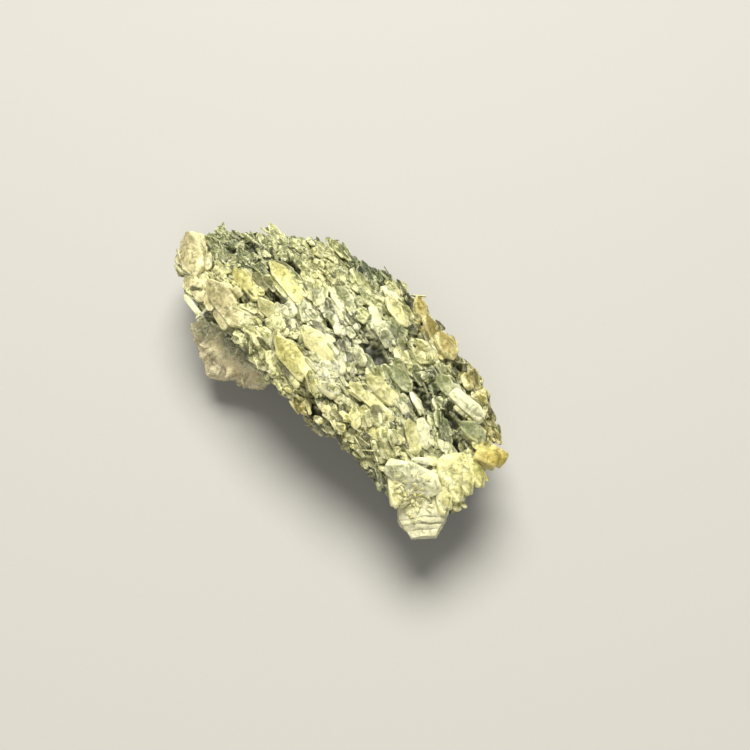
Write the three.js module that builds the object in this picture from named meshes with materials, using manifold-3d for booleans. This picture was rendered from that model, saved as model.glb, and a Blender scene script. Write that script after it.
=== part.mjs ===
// A loose cluster of small quartz crystals, of the kind that grows in Himalayan clefts rich in
// chlorite. An arched plate of rock is shingled with flat crystals that nearly all point one way
// along its length. A ledge of massive quartz hangs under its front edge, and a larger crystal
// closes one end. The cluster grew as one piece, so it is one solid.
//
// Millimetres, +Z up. X runs along the plate, Y across it to the back edge, and the broken
// underside stands on Z = 0.

import * as THREE from 'three';
import { ConvexGeometry } from 'three/addons/geometries/ConvexGeometry.js';
import { mergeVertices } from 'three/addons/utils/BufferGeometryUtils.js';
import Module from 'manifold-3d';

const wasm = await Module();
wasm.setup();

// ---------- Driving dimensions: millimetres and degrees ----------

// The rock plate: its edge, as [x, front edge y, back edge y] from the left end to the right end.
const PLATE_EDGE = [
  [-42, -8.5, -6],
  [-39, -10.3, -2.3],
  [-33, -12.3, 4.6],
  [-26, -14.8, 9.6],
  [-18, -15.5, 14],
  [-9, -15, 17.2],
  [0, -14.5, 19.5],
  [7, -14.5, 20.5],
  [15, -13, 19],
  [24, -11.7, 18.5],
  [31, -10.7, 17.5],
  [36, -11, 13.5],
  [39.5, -10.5, 7],
  [41.5, -8, 0],
];

// The arched top of the rock: its highest line, and how fast it falls away from there.
const CROWN_HEIGHT = 24.6;
const CROWN_LINE = 1;
const CROWN_FALL_ALONG = 0.0045;
const CROWN_FALL_ACROSS = 0.012;

// Hollows between the crystals, as [x, y, radius, depth].
const PITS = [
  [14.5, 10, 3.4, 2.2],
  [22.5, 8.5, 3, 2],
  [28.5, 8, 2.4, 1.8],
  [35, 5, 2.6, 2],
  [24.5, 6, 2.2, 1.4],
  [-0.5, 4, 1.8, 1.3],
  [-20.5, 1, 3.5, 1],
  [-29, -1, 3.5, 0.9],
  [13, -13, 2.4, 1.6],
  [29.5, -9, 2.4, 1.5],
  [-3.5, 13.5, 2.4, 1.4],
];

// The edge wall of the plate, and the keel of rock that the plate stands on.
const RIM_ROLL = 1.4;
const WALL_HEIGHT = 3.4;
const KEEL_LEFT = -29;
const KEEL_RIGHT = 30;
const KEEL_RUNOUT = 13;
const END_DEPTH = 6;
const ROCK_ROUGHNESS = { top: 0.3, rim: 0.6, wall: 1.2, slope: 2, base: 1.4 };
const ROCK_RINGS = 20;
const SLOPE_SHARE = 0.42;

// One cross-section of the rock, from the middle of the base to the back, over the top and down
// the front: [share of the way from the front edge to the back edge, level].
const ROCK_SECTION = [
  [0.56, 'base'],
  [0.68, 'base'],
  [0.8, 'base'],
  [0.91, 'slope'],
  [0.985, 'wall'],
  [1, 'rim'],
  [0.95, 'top'],
  [0.76, 'top'],
  [0.55, 'top'],
  [0.34, 'top'],
  [0.14, 'top'],
  [0.04, 'top'],
  [0, 'rim'],
  [0.02, 'wall'],
  [0.17, 'slope'],
  [0.34, 'base'],
  [0.45, 'base'],
];

// The lower ledge: blocks of massive quartz, each the hull of its corners.
const LEDGE_BLOCKS = {
  face: [
    [-21, -15, 15.5],
    [-19, -20, 9.5],
    [-15, -21.4, 7],
    [-12.5, -19.4, 6.3],
    [-13, -14.6, 16.5],
    [-10, -14.2, 16],
    [-9.5, -17.4, 8],
    [-17, -11, 5.5],
    [-11, -9, 5],
    [-20, -8, 13],
    [-10, -7, 14],
  ],
  rightLobe: [
    [-12, -18.2, 8],
    [-9, -17.4, 6.8],
    [-6.4, -15.8, 7],
    [-5, -13.4, 7],
    [-4.6, -13, 12.5],
    [-9, -15, 14.5],
    [-12, -14.5, 15],
    [-11, -9, 5],
    [-6, -8, 6.5],
    [-7, -7, 13],
  ],
  leftTooth: [
    [-24.2, -17.6, 14],
    [-23.6, -18.6, 12.2],
    [-20.4, -20, 9.6],
    [-18, -20, 10],
    [-19, -16, 15.2],
    [-22.8, -16, 15],
    [-20, -12, 9],
    [-21, -11, 14],
  ],
};

// Small crystals that stand on the ledge: [x, y, z, length, width, heading, tilt].
const LEDGE_THICKNESS = 0.8;
const LEDGE_CRYSTALS = [
  [-21, -17.6, 13.4, 5, 2.4, 205, 30],
  [-18.8, -18.4, 12, 4.4, 2.2, 240, 25],
  [-22.2, -17.8, 12, 3.6, 1.9, 230, -10],
  [-16.5, -18.2, 12.4, 4.4, 2.6, 250, 20],
  [-14.2, -19.4, 9, 4.6, 3, 262, -12],
  [-10.8, -17.4, 10.4, 4.4, 3, 280, 8],
  [-8, -15.8, 9.6, 4.4, 2.8, 300, 0],
];

// The crystals that stand out from the rest, each lying on the plate: middle x and y, length,
// width, heading of its point counted from +X, and how blunt that point is.
const NAMED_CRYSTALS = {
  yellowLance: { at: [-13, 0], length: 13, width: 4.2, heading: 176, blunt: 0.3 },
  ochreLance: { at: [-19, -6], length: 11, width: 3.6, heading: 179 },
  beigeBlade: { at: [-18.5, -12], length: 14, width: 5.4, heading: 176, blunt: 0.3 },
  rimmedBlade: { at: [3, -4.3], length: 10.5, width: 5, heading: 184, blunt: 0.3 },
  frontYellow: { at: [2, -9.8], length: 12, width: 5, heading: 179, blunt: 0.35 },
  clearLozenge: { at: [5.5, 8.5], length: 9.5, width: 2.6, heading: -24 },
  teardrop: { at: [-1, 4.5], length: 5, width: 2.2, heading: 108 },
  whiteBar: { at: [29.5, 10.5], length: 9, width: 3.8, heading: 22, blunt: 0.6 },
  whiteNeedle: { at: [24.5, 11.5], length: 6, width: 2, heading: 26 },
  whiteNub: { at: [19.5, 8], length: 4.5, width: 2.2, heading: 70 },
  creamSpear: { at: [28.5, -1.5], length: 8, width: 3, heading: 155 },
  whiteBlock: { at: [29.5, 0.5], length: 6.5, width: 2.8, heading: 154, blunt: 0.5 },
  whiteTwin: { at: [24, 3.5], length: 5.5, width: 3.2, heading: 171, blunt: 0.4 },
  creamShield: { at: [35, -6.5], length: 12.5, width: 6.4, heading: 211, blunt: 0.5 },
  yellowStub: { at: [39, 9], length: 7.5, width: 4, heading: 48, blunt: 0.6 },
  stepBack: { at: [40.8, 2], length: 6.5, width: 2.8, heading: -14, blunt: 0.4 },
  stepMiddle: { at: [41, -1], length: 6, width: 2.8, heading: -20, blunt: 0.4 },
  stepFront: { at: [41.2, -4.2], length: 6, width: 3, heading: -5, blunt: 0.4 },
  leftButt: { at: [-34.2, -8.4], length: 13, width: 5.4, heading: 152, blunt: 0.6 },
  leftBlade: { at: [-28, -13.5], length: 10, width: 3.6, heading: 170 },
  longLath: { at: [18.5, -3.5], length: 12, width: 2.6, heading: 193 },
  creamLath: { at: [18, -0.5], length: 9.5, width: 3.6, heading: 192 },
  ochreRound: { at: [20.5, 16.5], length: 9, width: 4.6, heading: 173, blunt: 0.6 },
  whiteOval: { at: [2, 15.5], length: 6, width: 2.8, heading: 185, blunt: 0.4 },
  creamBlock: { at: [6, 13.5], length: 8, width: 3.8, heading: 174, blunt: 0.5 },
  backKnob: { at: [7.5, 18.5], length: 7, width: 3, heading: 150, blunt: 0.5 },
  backOchre: { at: [13, 16.8], length: 7.5, width: 3.8, heading: 163, blunt: 0.5 },
  greenLens: { at: [-10, -6.5], length: 10.5, width: 3.8, heading: 181 },
  greenBlade: { at: [-8.5, -12], length: 10.5, width: 3.6, heading: 179 },
  greyGreenFront: { at: [18.5, 4], length: 7, width: 3.6, heading: 180 },
  greyGreenBack: { at: [22.5, 12.5], length: 8, width: 3.6, heading: 179 },
  palePair: { at: [-4.5, 12.5], length: 7.5, width: 3.4, heading: 178, blunt: 0.4 },
  greyRight: { at: [34.5, 9], length: 8, width: 4.2, heading: 207 },
};
const NAMED_THICKNESS = 0.55;
const NAMED_TILT = 11;
const NAMED_ROLL = [-8, 8];
const NAMED_LIFT = 0.35;
const NAMED_COVER = { along: 0.42, across: 0.48 };

// The larger crystal that closes the right end, with a chisel-shaped end face.
const END_CRYSTAL = { length: 14, width: 9.8, thickness: 7, point: 3.4, blunt: 0.55 };
const END_MIDDLE = [38.3, -6.6, 14.6];
const END_TURN = { heading: -36, tilt: -8 };

// A thin prism in the notch between the plate and the ledge.
const SLIVER = { length: 10, width: 1.9, thickness: 1.5, blunt: 0.6 };
const SLIVER_MIDDLE = [-24, -15.4, 17.4];
const SLIVER_TURN = { heading: 176, tilt: 4 };

// The carpet of crystals over the top, in rows along the plate. Ranges are [least, most].
const CARPET_LEFT = -42;
const CARPET_FRONT = -14.5;
const CARPET_PITCH = 5.6;
const CARPET_ROW = 3.2;
const CARPET_COLUMNS = 17;
const CARPET_ROWS = 12;
const ROW_SEED_STEP = 110;
const CARPET_STRAY = { along: 0.35, across: 0.3 };
const CARPET_MARGIN = 0.8;
const CARPET_LENGTH = [5, 7.8];
const CARPET_WIDTH = [2.7, 4];
const CARPET_THICKNESS = [0.55, 0.85];
const CARPET_TILT = [9, 25];
const CARPET_ROLL = [-20, 20];
const CARPET_LIFT = [0.05, 0.38];
const CARPET_LEAN = [-0.25, 0.25];

// The grain: where the crystals point, and how many of them point the other way.
const GRAIN_HEADING = 177;
const GRAIN_TURN_RIGHT = -14;
const GRAIN_SPREAD = [-20, 20];
const BACKWARD_SHARE = 0.22;

// The corner at the left end of the back edge, where the crystals are finer and darker.
const FINE_CORNER = { x: -30, y: 4, radius: 13 };
const FINE_SCALE = 0.7;

// The rows of crystals that stand out from the plate's front and back edges.
const EDGE_PITCH = 5.2;
const EDGE_STRAY = 0.25;
const EDGE_SEED = 2000;
const EDGE_LENGTH = [4.4, 6];
const EDGE_WIDTH = [2.6, 4.2];
const EDGE_THICKNESS = 0.7;
const EDGE_DROP = [0.65, 2.2];
const EDGE_INSET = 0.4;
const EDGE_TURN_OUT = [8, 38];
const EDGE_TILT = [-6, 8];
const EDGE_ROLL = [-25, 25];
const EDGE_BACKWARD_SHARE = 0.3;

// Blocky crystals half sunk in the underside: [x, y, z, length, width, heading, tilt].
const UNDERSIDE_THICKNESS = 0.85;
const UNDERSIDE_CRYSTALS = [
  [-33, 0, 10, 12, 7, 195, 12],
  [-26, 8, 10, 12, 8, 140, 14],
  [-25, -4, 5, 13, 9, 200, -6],
  [-14, 12, 9, 13, 8, 100, 8],
  [-6, 12, 4, 12, 8, 80, -4],
  [3, 15, 11, 12, 7, 75, 10],
  [13, 13, 6, 13, 9, 110, 6],
  [24, 13, 9, 12, 8, 60, 12],
  [31, 8, 5, 12, 8, 30, 4],
  [34, 1, 9, 11, 7, -10, 6],
  [2, -3, 7, 12, 8, 262, 4],
  [21, -3, 8, 12, 8, 285, 6],
];

// ---------- Helpers ----------

const radians = THREE.MathUtils.degToRad;
const mix = THREE.MathUtils.lerp;

// Repeatable draws for one seed: each call gives the next number, between 0 and 1 or in a range.
function drawsFor(seed) {
  let count = 0;
  return ([least, most] = [0, 1]) => {
    count += 1;
    const value = Math.sin((seed + 0.1 * count) * 12.9898) * 43758.5453;
    return mix(least, most, value - Math.floor(value));
  };
}

// The front (column 1) or back (column 2) edge of the plate at x.
function plateEdge(x, column) {
  const last = PLATE_EDGE.length - 1;
  if (x <= PLATE_EDGE[0][0]) return PLATE_EDGE[0][column];
  if (x >= PLATE_EDGE[last][0]) return PLATE_EDGE[last][column];
  const next = PLATE_EDGE.findIndex((station) => station[0] > x);
  const [from, to] = [PLATE_EDGE[next - 1], PLATE_EDGE[next]];
  return mix(from[column], to[column], (x - from[0]) / (to[0] - from[0]));
}

// Height of the arched rock surface under the crystals.
function crown(x, y) {
  const across = y - CROWN_LINE;
  let height = CROWN_HEIGHT - CROWN_FALL_ALONG * x * x - CROWN_FALL_ACROSS * across * across;
  for (const [pitX, pitY, radius, depth] of PITS) {
    const distance = Math.hypot(x - pitX, y - pitY) / radius;
    height -= depth * Math.exp(-distance * distance);
  }
  return height;
}

// The slope of the crown along a heading, as an angle in degrees.
function slopeAngle(x, y, heading) {
  const [stepX, stepY] = [Math.cos(radians(heading)), Math.sin(radians(heading))];
  const rise = crown(x + stepX, y + stepY) - crown(x - stepX, y - stepY);
  return THREE.MathUtils.radToDeg(Math.atan(rise / 2));
}

// A three.js geometry as a manifold solid.
function solidOf(geometry) {
  geometry.deleteAttribute('normal');
  geometry.deleteAttribute('uv');
  const merged = mergeVertices(geometry);
  const mesh = new wasm.Mesh({
    numProp: 3,
    vertProperties: new Float32Array(merged.getAttribute('position').array),
    triVerts: new Uint32Array(merged.getIndex().array),
  });
  return new wasm.Manifold(mesh);
}

// ---------- The rock ----------

// Height of one level of the rock's cross-section at x, y.
function rockLevel(level, x, y) {
  const top = crown(x, y);
  const runout = Math.max(KEEL_LEFT - x, x - KEEL_RIGHT, 0) / KEEL_RUNOUT;
  const base = Math.min(runout, 1) * (top - END_DEPTH);
  const wall = top - RIM_ROLL - WALL_HEIGHT;
  const levels = { top, rim: top - RIM_ROLL, wall, slope: mix(wall, base, SLOPE_SHARE), base };
  return levels[level];
}

// A sphere's grid of rings and columns, with its poles at the two ends of the plate.
function rock() {
  const columns = ROCK_SECTION.length;
  const shape = new THREE.SphereGeometry(1, columns, ROCK_RINGS);
  const position = shape.getAttribute('position');
  const [left, right] = [PLATE_EDGE[0][0], PLATE_EDGE[PLATE_EDGE.length - 1][0]];
  for (let index = 0; index < position.count; index += 1) {
    const ring = Math.floor(index / (columns + 1));
    const column = (index % (columns + 1)) % columns;
    const atEnd = ring === 0 || ring === ROCK_RINGS;
    const x = mix(right, left, (1 - Math.cos((Math.PI * ring) / ROCK_RINGS)) / 2);
    const [share, level] = atEnd ? [0.5, 'wall'] : ROCK_SECTION[column];
    const y = mix(plateEdge(x, 1), plateEdge(x, 2), share);
    const z = rockLevel(level, x, y);
    const draw = drawsFor(atEnd ? ring : ring * columns + column);
    const rough = [-ROCK_ROUGHNESS[level], ROCK_ROUGHNESS[level]];
    const shift = [draw(rough), draw(rough), level === 'base' ? 0 : draw(rough)];
    position.setXYZ(index, x + shift[0], y + shift[1], z + shift[2]);
  }
  return solidOf(shape);
}

// ---------- Crystals ----------

// A crystal along +X: a six-sided prism lying on a flat side, with a six-sided point at each end.
// It is a sphere with six columns. A blunt crystal has one more ring near its point.
function crystalShape({ length, width, thickness, point, blunt = 0, lean = 0 }) {
  const tip = point ?? Math.min(0.42 * length, 0.75 * width);
  const rings = [
    [length / 2, 0],
    [length / 2 - tip, 1],
    [-length / 2 + tip / 2, 0.9],
    [-length / 2, 0],
  ];
  if (blunt > 0) rings.splice(1, 0, [length / 2 - 0.12 * tip, blunt]);
  const shape = new THREE.SphereGeometry(1, 6, rings.length - 1);
  const position = shape.getAttribute('position');
  for (let index = 0; index < position.count; index += 1) {
    const ring = Math.floor(index / 7);
    const turn = ((index % 7) * Math.PI) / 3;
    const [along, radius] = rings[ring];
    const side = radius * Math.cos(turn);
    const up = radius * Math.sin(turn);
    const shift = ring === 0 ? lean * width : 0;
    position.setXYZ(index, along, (side * width) / 2 + shift, (up * thickness) / 2);
  }
  return shape;
}

function placed(shape, [x, y, z], { heading, tilt = 0, roll = 0 }) {
  shape.rotateX(radians(roll));
  shape.rotateY(radians(-tilt));
  shape.rotateZ(radians(heading));
  shape.translate(x, y, z);
  return solidOf(shape);
}

// A crystal that lies on the crown and follows its slope.
function onCrown(crystal, [x, y], { heading, tilt, roll, lift }) {
  const turn = {
    heading,
    tilt: tilt + slopeAngle(x, y, heading),
    roll: roll + slopeAngle(x, y, heading + 90),
  };
  return placed(crystalShape(crystal), [x, y, crown(x, y) + lift], turn);
}

function namedCrystals() {
  return Object.values(NAMED_CRYSTALS).map(({ at, length, width, heading, blunt }, index) => {
    const thickness = NAMED_THICKNESS * width;
    const roll = drawsFor(index)(NAMED_ROLL);
    const turn = { heading, tilt: NAMED_TILT, roll, lift: NAMED_LIFT * thickness };
    return onCrown({ length, width, thickness, blunt }, at, turn);
  });
}

// True where a named crystal covers the plate at x, y.
function underNamedCrystal(x, y) {
  return Object.values(NAMED_CRYSTALS).some(({ at, length, width, heading }) => {
    const place = new THREE.Vector2(x - at[0], y - at[1]);
    place.rotateAround(new THREE.Vector2(), radians(-heading));
    const along = Math.abs(place.x) < NAMED_COVER.along * length;
    return along && Math.abs(place.y) < NAMED_COVER.across * width;
  });
}

// The heading of a crystal in the grain, which turns a little towards the right end.
function grainHeading(x, draw) {
  const turned = GRAIN_HEADING + GRAIN_TURN_RIGHT * THREE.MathUtils.smoothstep(x, 10, 34);
  const backward = draw() < BACKWARD_SHARE ? 180 : 0;
  return turned + backward + draw(GRAIN_SPREAD);
}

// The size of crystals near x, y as a share of their size elsewhere.
function grainSize(x, y) {
  const distance = Math.hypot(x - FINE_CORNER.x, y - FINE_CORNER.y);
  return distance < FINE_CORNER.radius ? FINE_SCALE : 1;
}

// True where a carpet crystal can stand: on the plate, clear of its edges and named crystals.
function carpeted(x, y) {
  const onPlate = x > PLATE_EDGE[0][0] && x < PLATE_EDGE[PLATE_EDGE.length - 1][0];
  const behindFront = y > plateEdge(x, 1) + CARPET_MARGIN;
  const beforeBack = y < plateEdge(x, 2) - CARPET_MARGIN;
  return onPlate && behindFront && beforeBack && !underNamedCrystal(x, y);
}

function carpetCrystals() {
  const crystals = [];
  for (let row = 0; row < CARPET_ROWS; row += 1) {
    for (let column = 0; column < CARPET_COLUMNS; column += 1) {
      const draw = drawsFor(ROW_SEED_STEP * (row + 1) + column);
      const stagger = 0.5 * (row % 2);
      const along = column + stagger + draw([-CARPET_STRAY.along, CARPET_STRAY.along]);
      const across = row + draw([-CARPET_STRAY.across, CARPET_STRAY.across]);
      const x = CARPET_LEFT + CARPET_PITCH * along;
      const y = CARPET_FRONT + CARPET_ROW * across;
      if (!carpeted(x, y)) continue;
      const length = grainSize(x, y) * draw(CARPET_LENGTH);
      const width = grainSize(x, y) * draw(CARPET_WIDTH);
      const thickness = width * draw(CARPET_THICKNESS);
      const heading = grainHeading(x, draw);
      const tilt = draw(CARPET_TILT);
      const roll = draw(CARPET_ROLL);
      const lift = thickness * draw(CARPET_LIFT);
      const lean = draw(CARPET_LEAN);
      const crystal = { length, width, thickness, lean };
      crystals.push(onCrown(crystal, [x, y], { heading, tilt, roll, lift }));
    }
  }
  return crystals;
}

// Crystals along the front edge (column 1) or the back edge (column 2) of the plate.
function edgeCrystals(side) {
  const crystals = [];
  const [left, right] = [PLATE_EDGE[0][0], PLATE_EDGE[PLATE_EDGE.length - 1][0]];
  const outward = side === 1 ? -1 : 1;
  for (let step = 0; step <= (right - left) / EDGE_PITCH; step += 1) {
    const draw = drawsFor(EDGE_SEED * side + step);
    const x = left + EDGE_PITCH * (step + draw([-EDGE_STRAY, EDGE_STRAY]));
    const y = plateEdge(x, side) - outward * EDGE_INSET;
    const length = grainSize(x, y) * draw(EDGE_LENGTH);
    const width = grainSize(x, y) * draw(EDGE_WIDTH);
    const turnOut = outward * draw(EDGE_TURN_OUT);
    const heading = draw() < EDGE_BACKWARD_SHARE ? turnOut : 180 - turnOut;
    const turn = { heading, tilt: draw(EDGE_TILT), roll: draw(EDGE_ROLL) };
    const shape = crystalShape({ length, width, thickness: EDGE_THICKNESS * width });
    crystals.push(placed(shape, [x, y, crown(x, y) - draw(EDGE_DROP)], turn));
  }
  return crystals;
}

// Crystals from rows of [x, y, z, length, width, heading, tilt].
function listedCrystals(rows, thicknessShare) {
  return rows.map(([x, y, z, length, width, heading, tilt], index) => {
    const shape = crystalShape({ length, width, thickness: thicknessShare * width });
    const roll = drawsFor(index)(EDGE_ROLL);
    return placed(shape, [x, y, z], { heading, tilt, roll });
  });
}

// ---------- The ledge ----------

function ledge() {
  const blocks = Object.values(LEDGE_BLOCKS).map((corners) => {
    const points = corners.map((corner) => new THREE.Vector3(...corner));
    return solidOf(new ConvexGeometry(points));
  });
  return [...blocks, ...listedCrystals(LEDGE_CRYSTALS, LEDGE_THICKNESS)];
}

// ---------- The cluster ----------

function clusterGeometry() {
  const pieces = [
    ...ledge(),
    ...listedCrystals(UNDERSIDE_CRYSTALS, UNDERSIDE_THICKNESS),
    ...edgeCrystals(1),
    ...edgeCrystals(2),
    ...carpetCrystals(),
    ...namedCrystals(),
    placed(crystalShape(END_CRYSTAL), END_MIDDLE, END_TURN),
    placed(crystalShape(SLIVER), SLIVER_MIDDLE, SLIVER_TURN),
  ];
  let cluster = rock();
  for (const piece of pieces) cluster = cluster.add(piece);
  const mesh = cluster.getMesh();
  const geometry = new THREE.BufferGeometry();
  geometry.setAttribute('position', new THREE.BufferAttribute(mesh.vertProperties, 3));
  geometry.setIndex(new THREE.BufferAttribute(mesh.triVerts, 1));
  geometry.computeVertexNormals();
  return geometry;
}

const quartz = new THREE.MeshStandardMaterial({ color: 0xb4b384, roughness: 0.35, metalness: 0 });
const cluster = new THREE.Mesh(clusterGeometry(), quartz);
cluster.name = 'quartz_cluster';

const part = new THREE.Group();
part.add(cluster);

export default part;
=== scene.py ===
# %% [markdown]
# # A cluster of quartz crystals, built crystal by crystal
# The real thing is a loose piece of a mountain cleft: a thin arched plate of dark green rock, shingled
# all over with small flat quartz crystals that nearly all point one way. A ledge of massive quartz hangs
# under its front edge, and one larger crystal closes an end. It all grew as one piece.
#
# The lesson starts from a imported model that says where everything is. Each piece made here stands in for
# that one solid, in the same place, with the fine crystals that a solid can't carry.

# %% The fixed frame
import math
import random

import bmesh
import bpy
from mathutils import Matrix, Vector, noise
from mathutils.bvhtree import BVHTree


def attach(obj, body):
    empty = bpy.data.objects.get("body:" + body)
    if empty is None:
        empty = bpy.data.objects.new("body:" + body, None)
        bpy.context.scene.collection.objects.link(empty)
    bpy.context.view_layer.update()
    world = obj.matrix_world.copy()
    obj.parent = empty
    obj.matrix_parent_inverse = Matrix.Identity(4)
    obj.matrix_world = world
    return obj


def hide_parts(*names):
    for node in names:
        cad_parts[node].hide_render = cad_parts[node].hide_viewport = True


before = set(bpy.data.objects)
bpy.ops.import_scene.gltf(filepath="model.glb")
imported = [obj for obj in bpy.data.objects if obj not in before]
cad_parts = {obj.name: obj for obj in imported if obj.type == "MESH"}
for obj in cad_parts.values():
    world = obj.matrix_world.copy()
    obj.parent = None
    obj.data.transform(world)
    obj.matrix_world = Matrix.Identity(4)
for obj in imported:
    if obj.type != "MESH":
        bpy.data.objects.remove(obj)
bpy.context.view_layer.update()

NODE = "quartz_cluster"
BODY = "root"
MM = 0.001

# %% [markdown]
# ## The layout
# The places come first. The plate's edge is a list of stations along X, each with its front and its back
# edge, and the crown is a formula: a shallow dome with a few wide pits, and narrow dark hollows that stay
# open between the crystals. Every crystal is seated on that crown, so the same few numbers place the rock
# and what grows on it. They are millimetres, as a mineral collector would measure them, and become metres
# when a piece is finished.

# %% The plate and its crown
# Stations of the edge: x, y in front, y at the back.
PLATE_EDGE = [
    (-42, -8.5, -6),
    (-39, -10.3, -3),
    (-33, -12.3, 3.9),
    (-26, -14.8, 9.4),
    (-18, -15.5, 14),
    (-9, -15, 17.2),
    (0, -14.5, 19.5),
    (7, -14.5, 20.5),
    (15, -13, 19),
    (24, -11.7, 18.5),
    (31, -10.7, 18.4),
    (36, -11, 14.6),
    (39.5, -10.5, 8),
    (41.5, -8, 0),
]
LEFT_END, RIGHT_END = PLATE_EDGE[0][0], PLATE_EDGE[-1][0]
CROWN_HEIGHT = 24.6
CROWN_LINE = 1
CROWN_FALL_ALONG = 0.0045
CROWN_FALL_ACROSS = 0.012
# Wide pits: x, y, radius, depth.
PITS = [
    (14.5, 10, 3.4, 2.2),
    (22.5, 8.5, 3, 2),
    (28.5, 8, 2.4, 1.8),
    (34, 5.3, 2, 1.6),
    (24.5, 6, 2.2, 1.4),
    (-0.5, 4, 1.8, 1.3),
    (-20.5, 1, 3.5, 1),
    (-29, -1, 3.5, 0.9),
    (13, -13, 2.4, 1.6),
    (29.5, -9, 2.4, 1.5),
    (-3.5, 13.5, 2.4, 1.4),
]
HOLLOW_DEPTH = 3.2
# Hollows: x, y, reach along X, reach across.
HOLLOWS = [
    (10.2, 3.9, 3.6, 2.0),
    (22, 16.4, 1.5, 1.2),
    (23.6, 5.6, 1.9, 1.5),
    (29.8, 7.4, 1.9, 1.1),
    (34, 5.3, 1.3, 1.1),
    (32, 17, 1.4, 1.4),
    (-0.4, 0.9, 1.2, 0.8),
    (-17, 4.2, 2.2, 1),
    (-20.5, 0.9, 1.5, 1.1),
    (-12, -3.7, 1.6, 1.1),
    (-16.6, -8.6, 1.4, 1),
    (11.8, -12.2, 1.5, 0.8),
    (4.4, 18.4, 1.4, 1),
    (-28.5, 1.5, 1.8, 0.9),
    (-31.5, -2, 1.6, 0.8),
]
HOLLOW_CLEAR = 0.3
# The back left corner lies lower: x, y, reach, fall.
CORNER_FALL = (-33, 5, 10, 0.7)
BODY_CHECKS = (-0.38, -0.12, 0.12, 0.38)
print("stations:", len(PLATE_EDGE), "pits:", len(PITS), "hollows:", len(HOLLOWS))

# %% Heights and places
def mix(start, end, share):
    """A value between two others, by its share of the way."""
    return start + (end - start) * share


def plate_edge(x, column):
    """The front (column 1) or back (column 2) edge of the plate at x."""
    if x <= LEFT_END:
        return PLATE_EDGE[0][column]
    for near, far in zip(PLATE_EDGE, PLATE_EDGE[1:]):
        if x < far[0]:
            return mix(near[column], far[column], (x - near[0]) / (far[0] - near[0]))
    return PLATE_EDGE[-1][column]


def hollowness(x, y):
    """1 in the middle of a dark hollow between the crystals, falling to 0 round it."""
    share = 0
    for hollow_x, hollow_y, along, across in HOLLOWS:
        spread = ((x - hollow_x) / along) ** 2 + ((y - hollow_y) / across) ** 2
        share = max(share, math.exp(-spread * spread))
    return share


def roofs_hollow(matrix, length):
    """True where a placed crystal would roof over a hollow."""
    spots = [matrix @ Vector((share * length, 0, 0)) for share in BODY_CHECKS]
    return any(hollowness(spot.x, spot.y) > HOLLOW_CLEAR for spot in spots)


def crown(x, y):
    """Height of the arched rock surface under the crystals."""
    across = y - CROWN_LINE
    height = CROWN_HEIGHT - CROWN_FALL_ALONG * x * x - CROWN_FALL_ACROSS * across * across
    for pit_x, pit_y, radius, depth in PITS:
        distance = math.hypot(x - pit_x, y - pit_y) / radius
        height -= depth * math.exp(-distance * distance)
    corner_x, corner_y, reach, fall = CORNER_FALL
    height -= fall * math.exp(-((math.hypot(x - corner_x, y - corner_y) / reach) ** 2))
    return height - HOLLOW_DEPTH * hollowness(x, y)


def slope_angle(x, y, heading):
    """The crown's slope along a heading, as an angle in degrees."""
    step = Vector((math.cos(math.radians(heading)), math.sin(math.radians(heading))))
    rise = crown(x + step.x, y + step.y) - crown(x - step.x, y - step.y)
    return math.degrees(math.atan(rise / 2))


def draws_for(seed):
    """Repeatable draws for one seed: each call gives the next number of a range."""
    count = 0

    def draw(least=0.0, most=1.0):
        nonlocal count
        count += 1
        value = math.sin((seed + 0.1 * count) * 12.9898) * 43758.5453
        return mix(least, most, value - math.floor(value))

    return draw


print("crown over the middle, mm:", round(crown(0, CROWN_LINE), 2))

# %% [markdown]
# ## Colour by place
# Clusters like this one are never one colour. Chlorite stains the crystals green, iron turns the old
# edges ochre, and young clean crystals are white. Each crystal draws its own tint from the zones around
# it: near a zone's middle it is likely to take that zone's colour, far away it takes the pale green of
# the whole. A painted texture would blur across the crystals. A tint for each crystal keeps them apart.

# %% Tints and zones
TINTS = {
    "pale green": (0.80, 0.81, 0.40),
    "grey green": (0.47, 0.51, 0.25),
    "dark green": (0.15, 0.20, 0.08),
    "black green": (0.04, 0.05, 0.02),
    "cream": (0.95, 0.89, 0.42),
    "beige": (0.86, 0.76, 0.42),
    "yellow": (0.94, 0.86, 0.32),
    "amber": (0.93, 0.75, 0.17),
    "ochre": (0.58, 0.46, 0.10),
    "white": (0.96, 0.95, 0.66),
}
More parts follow.
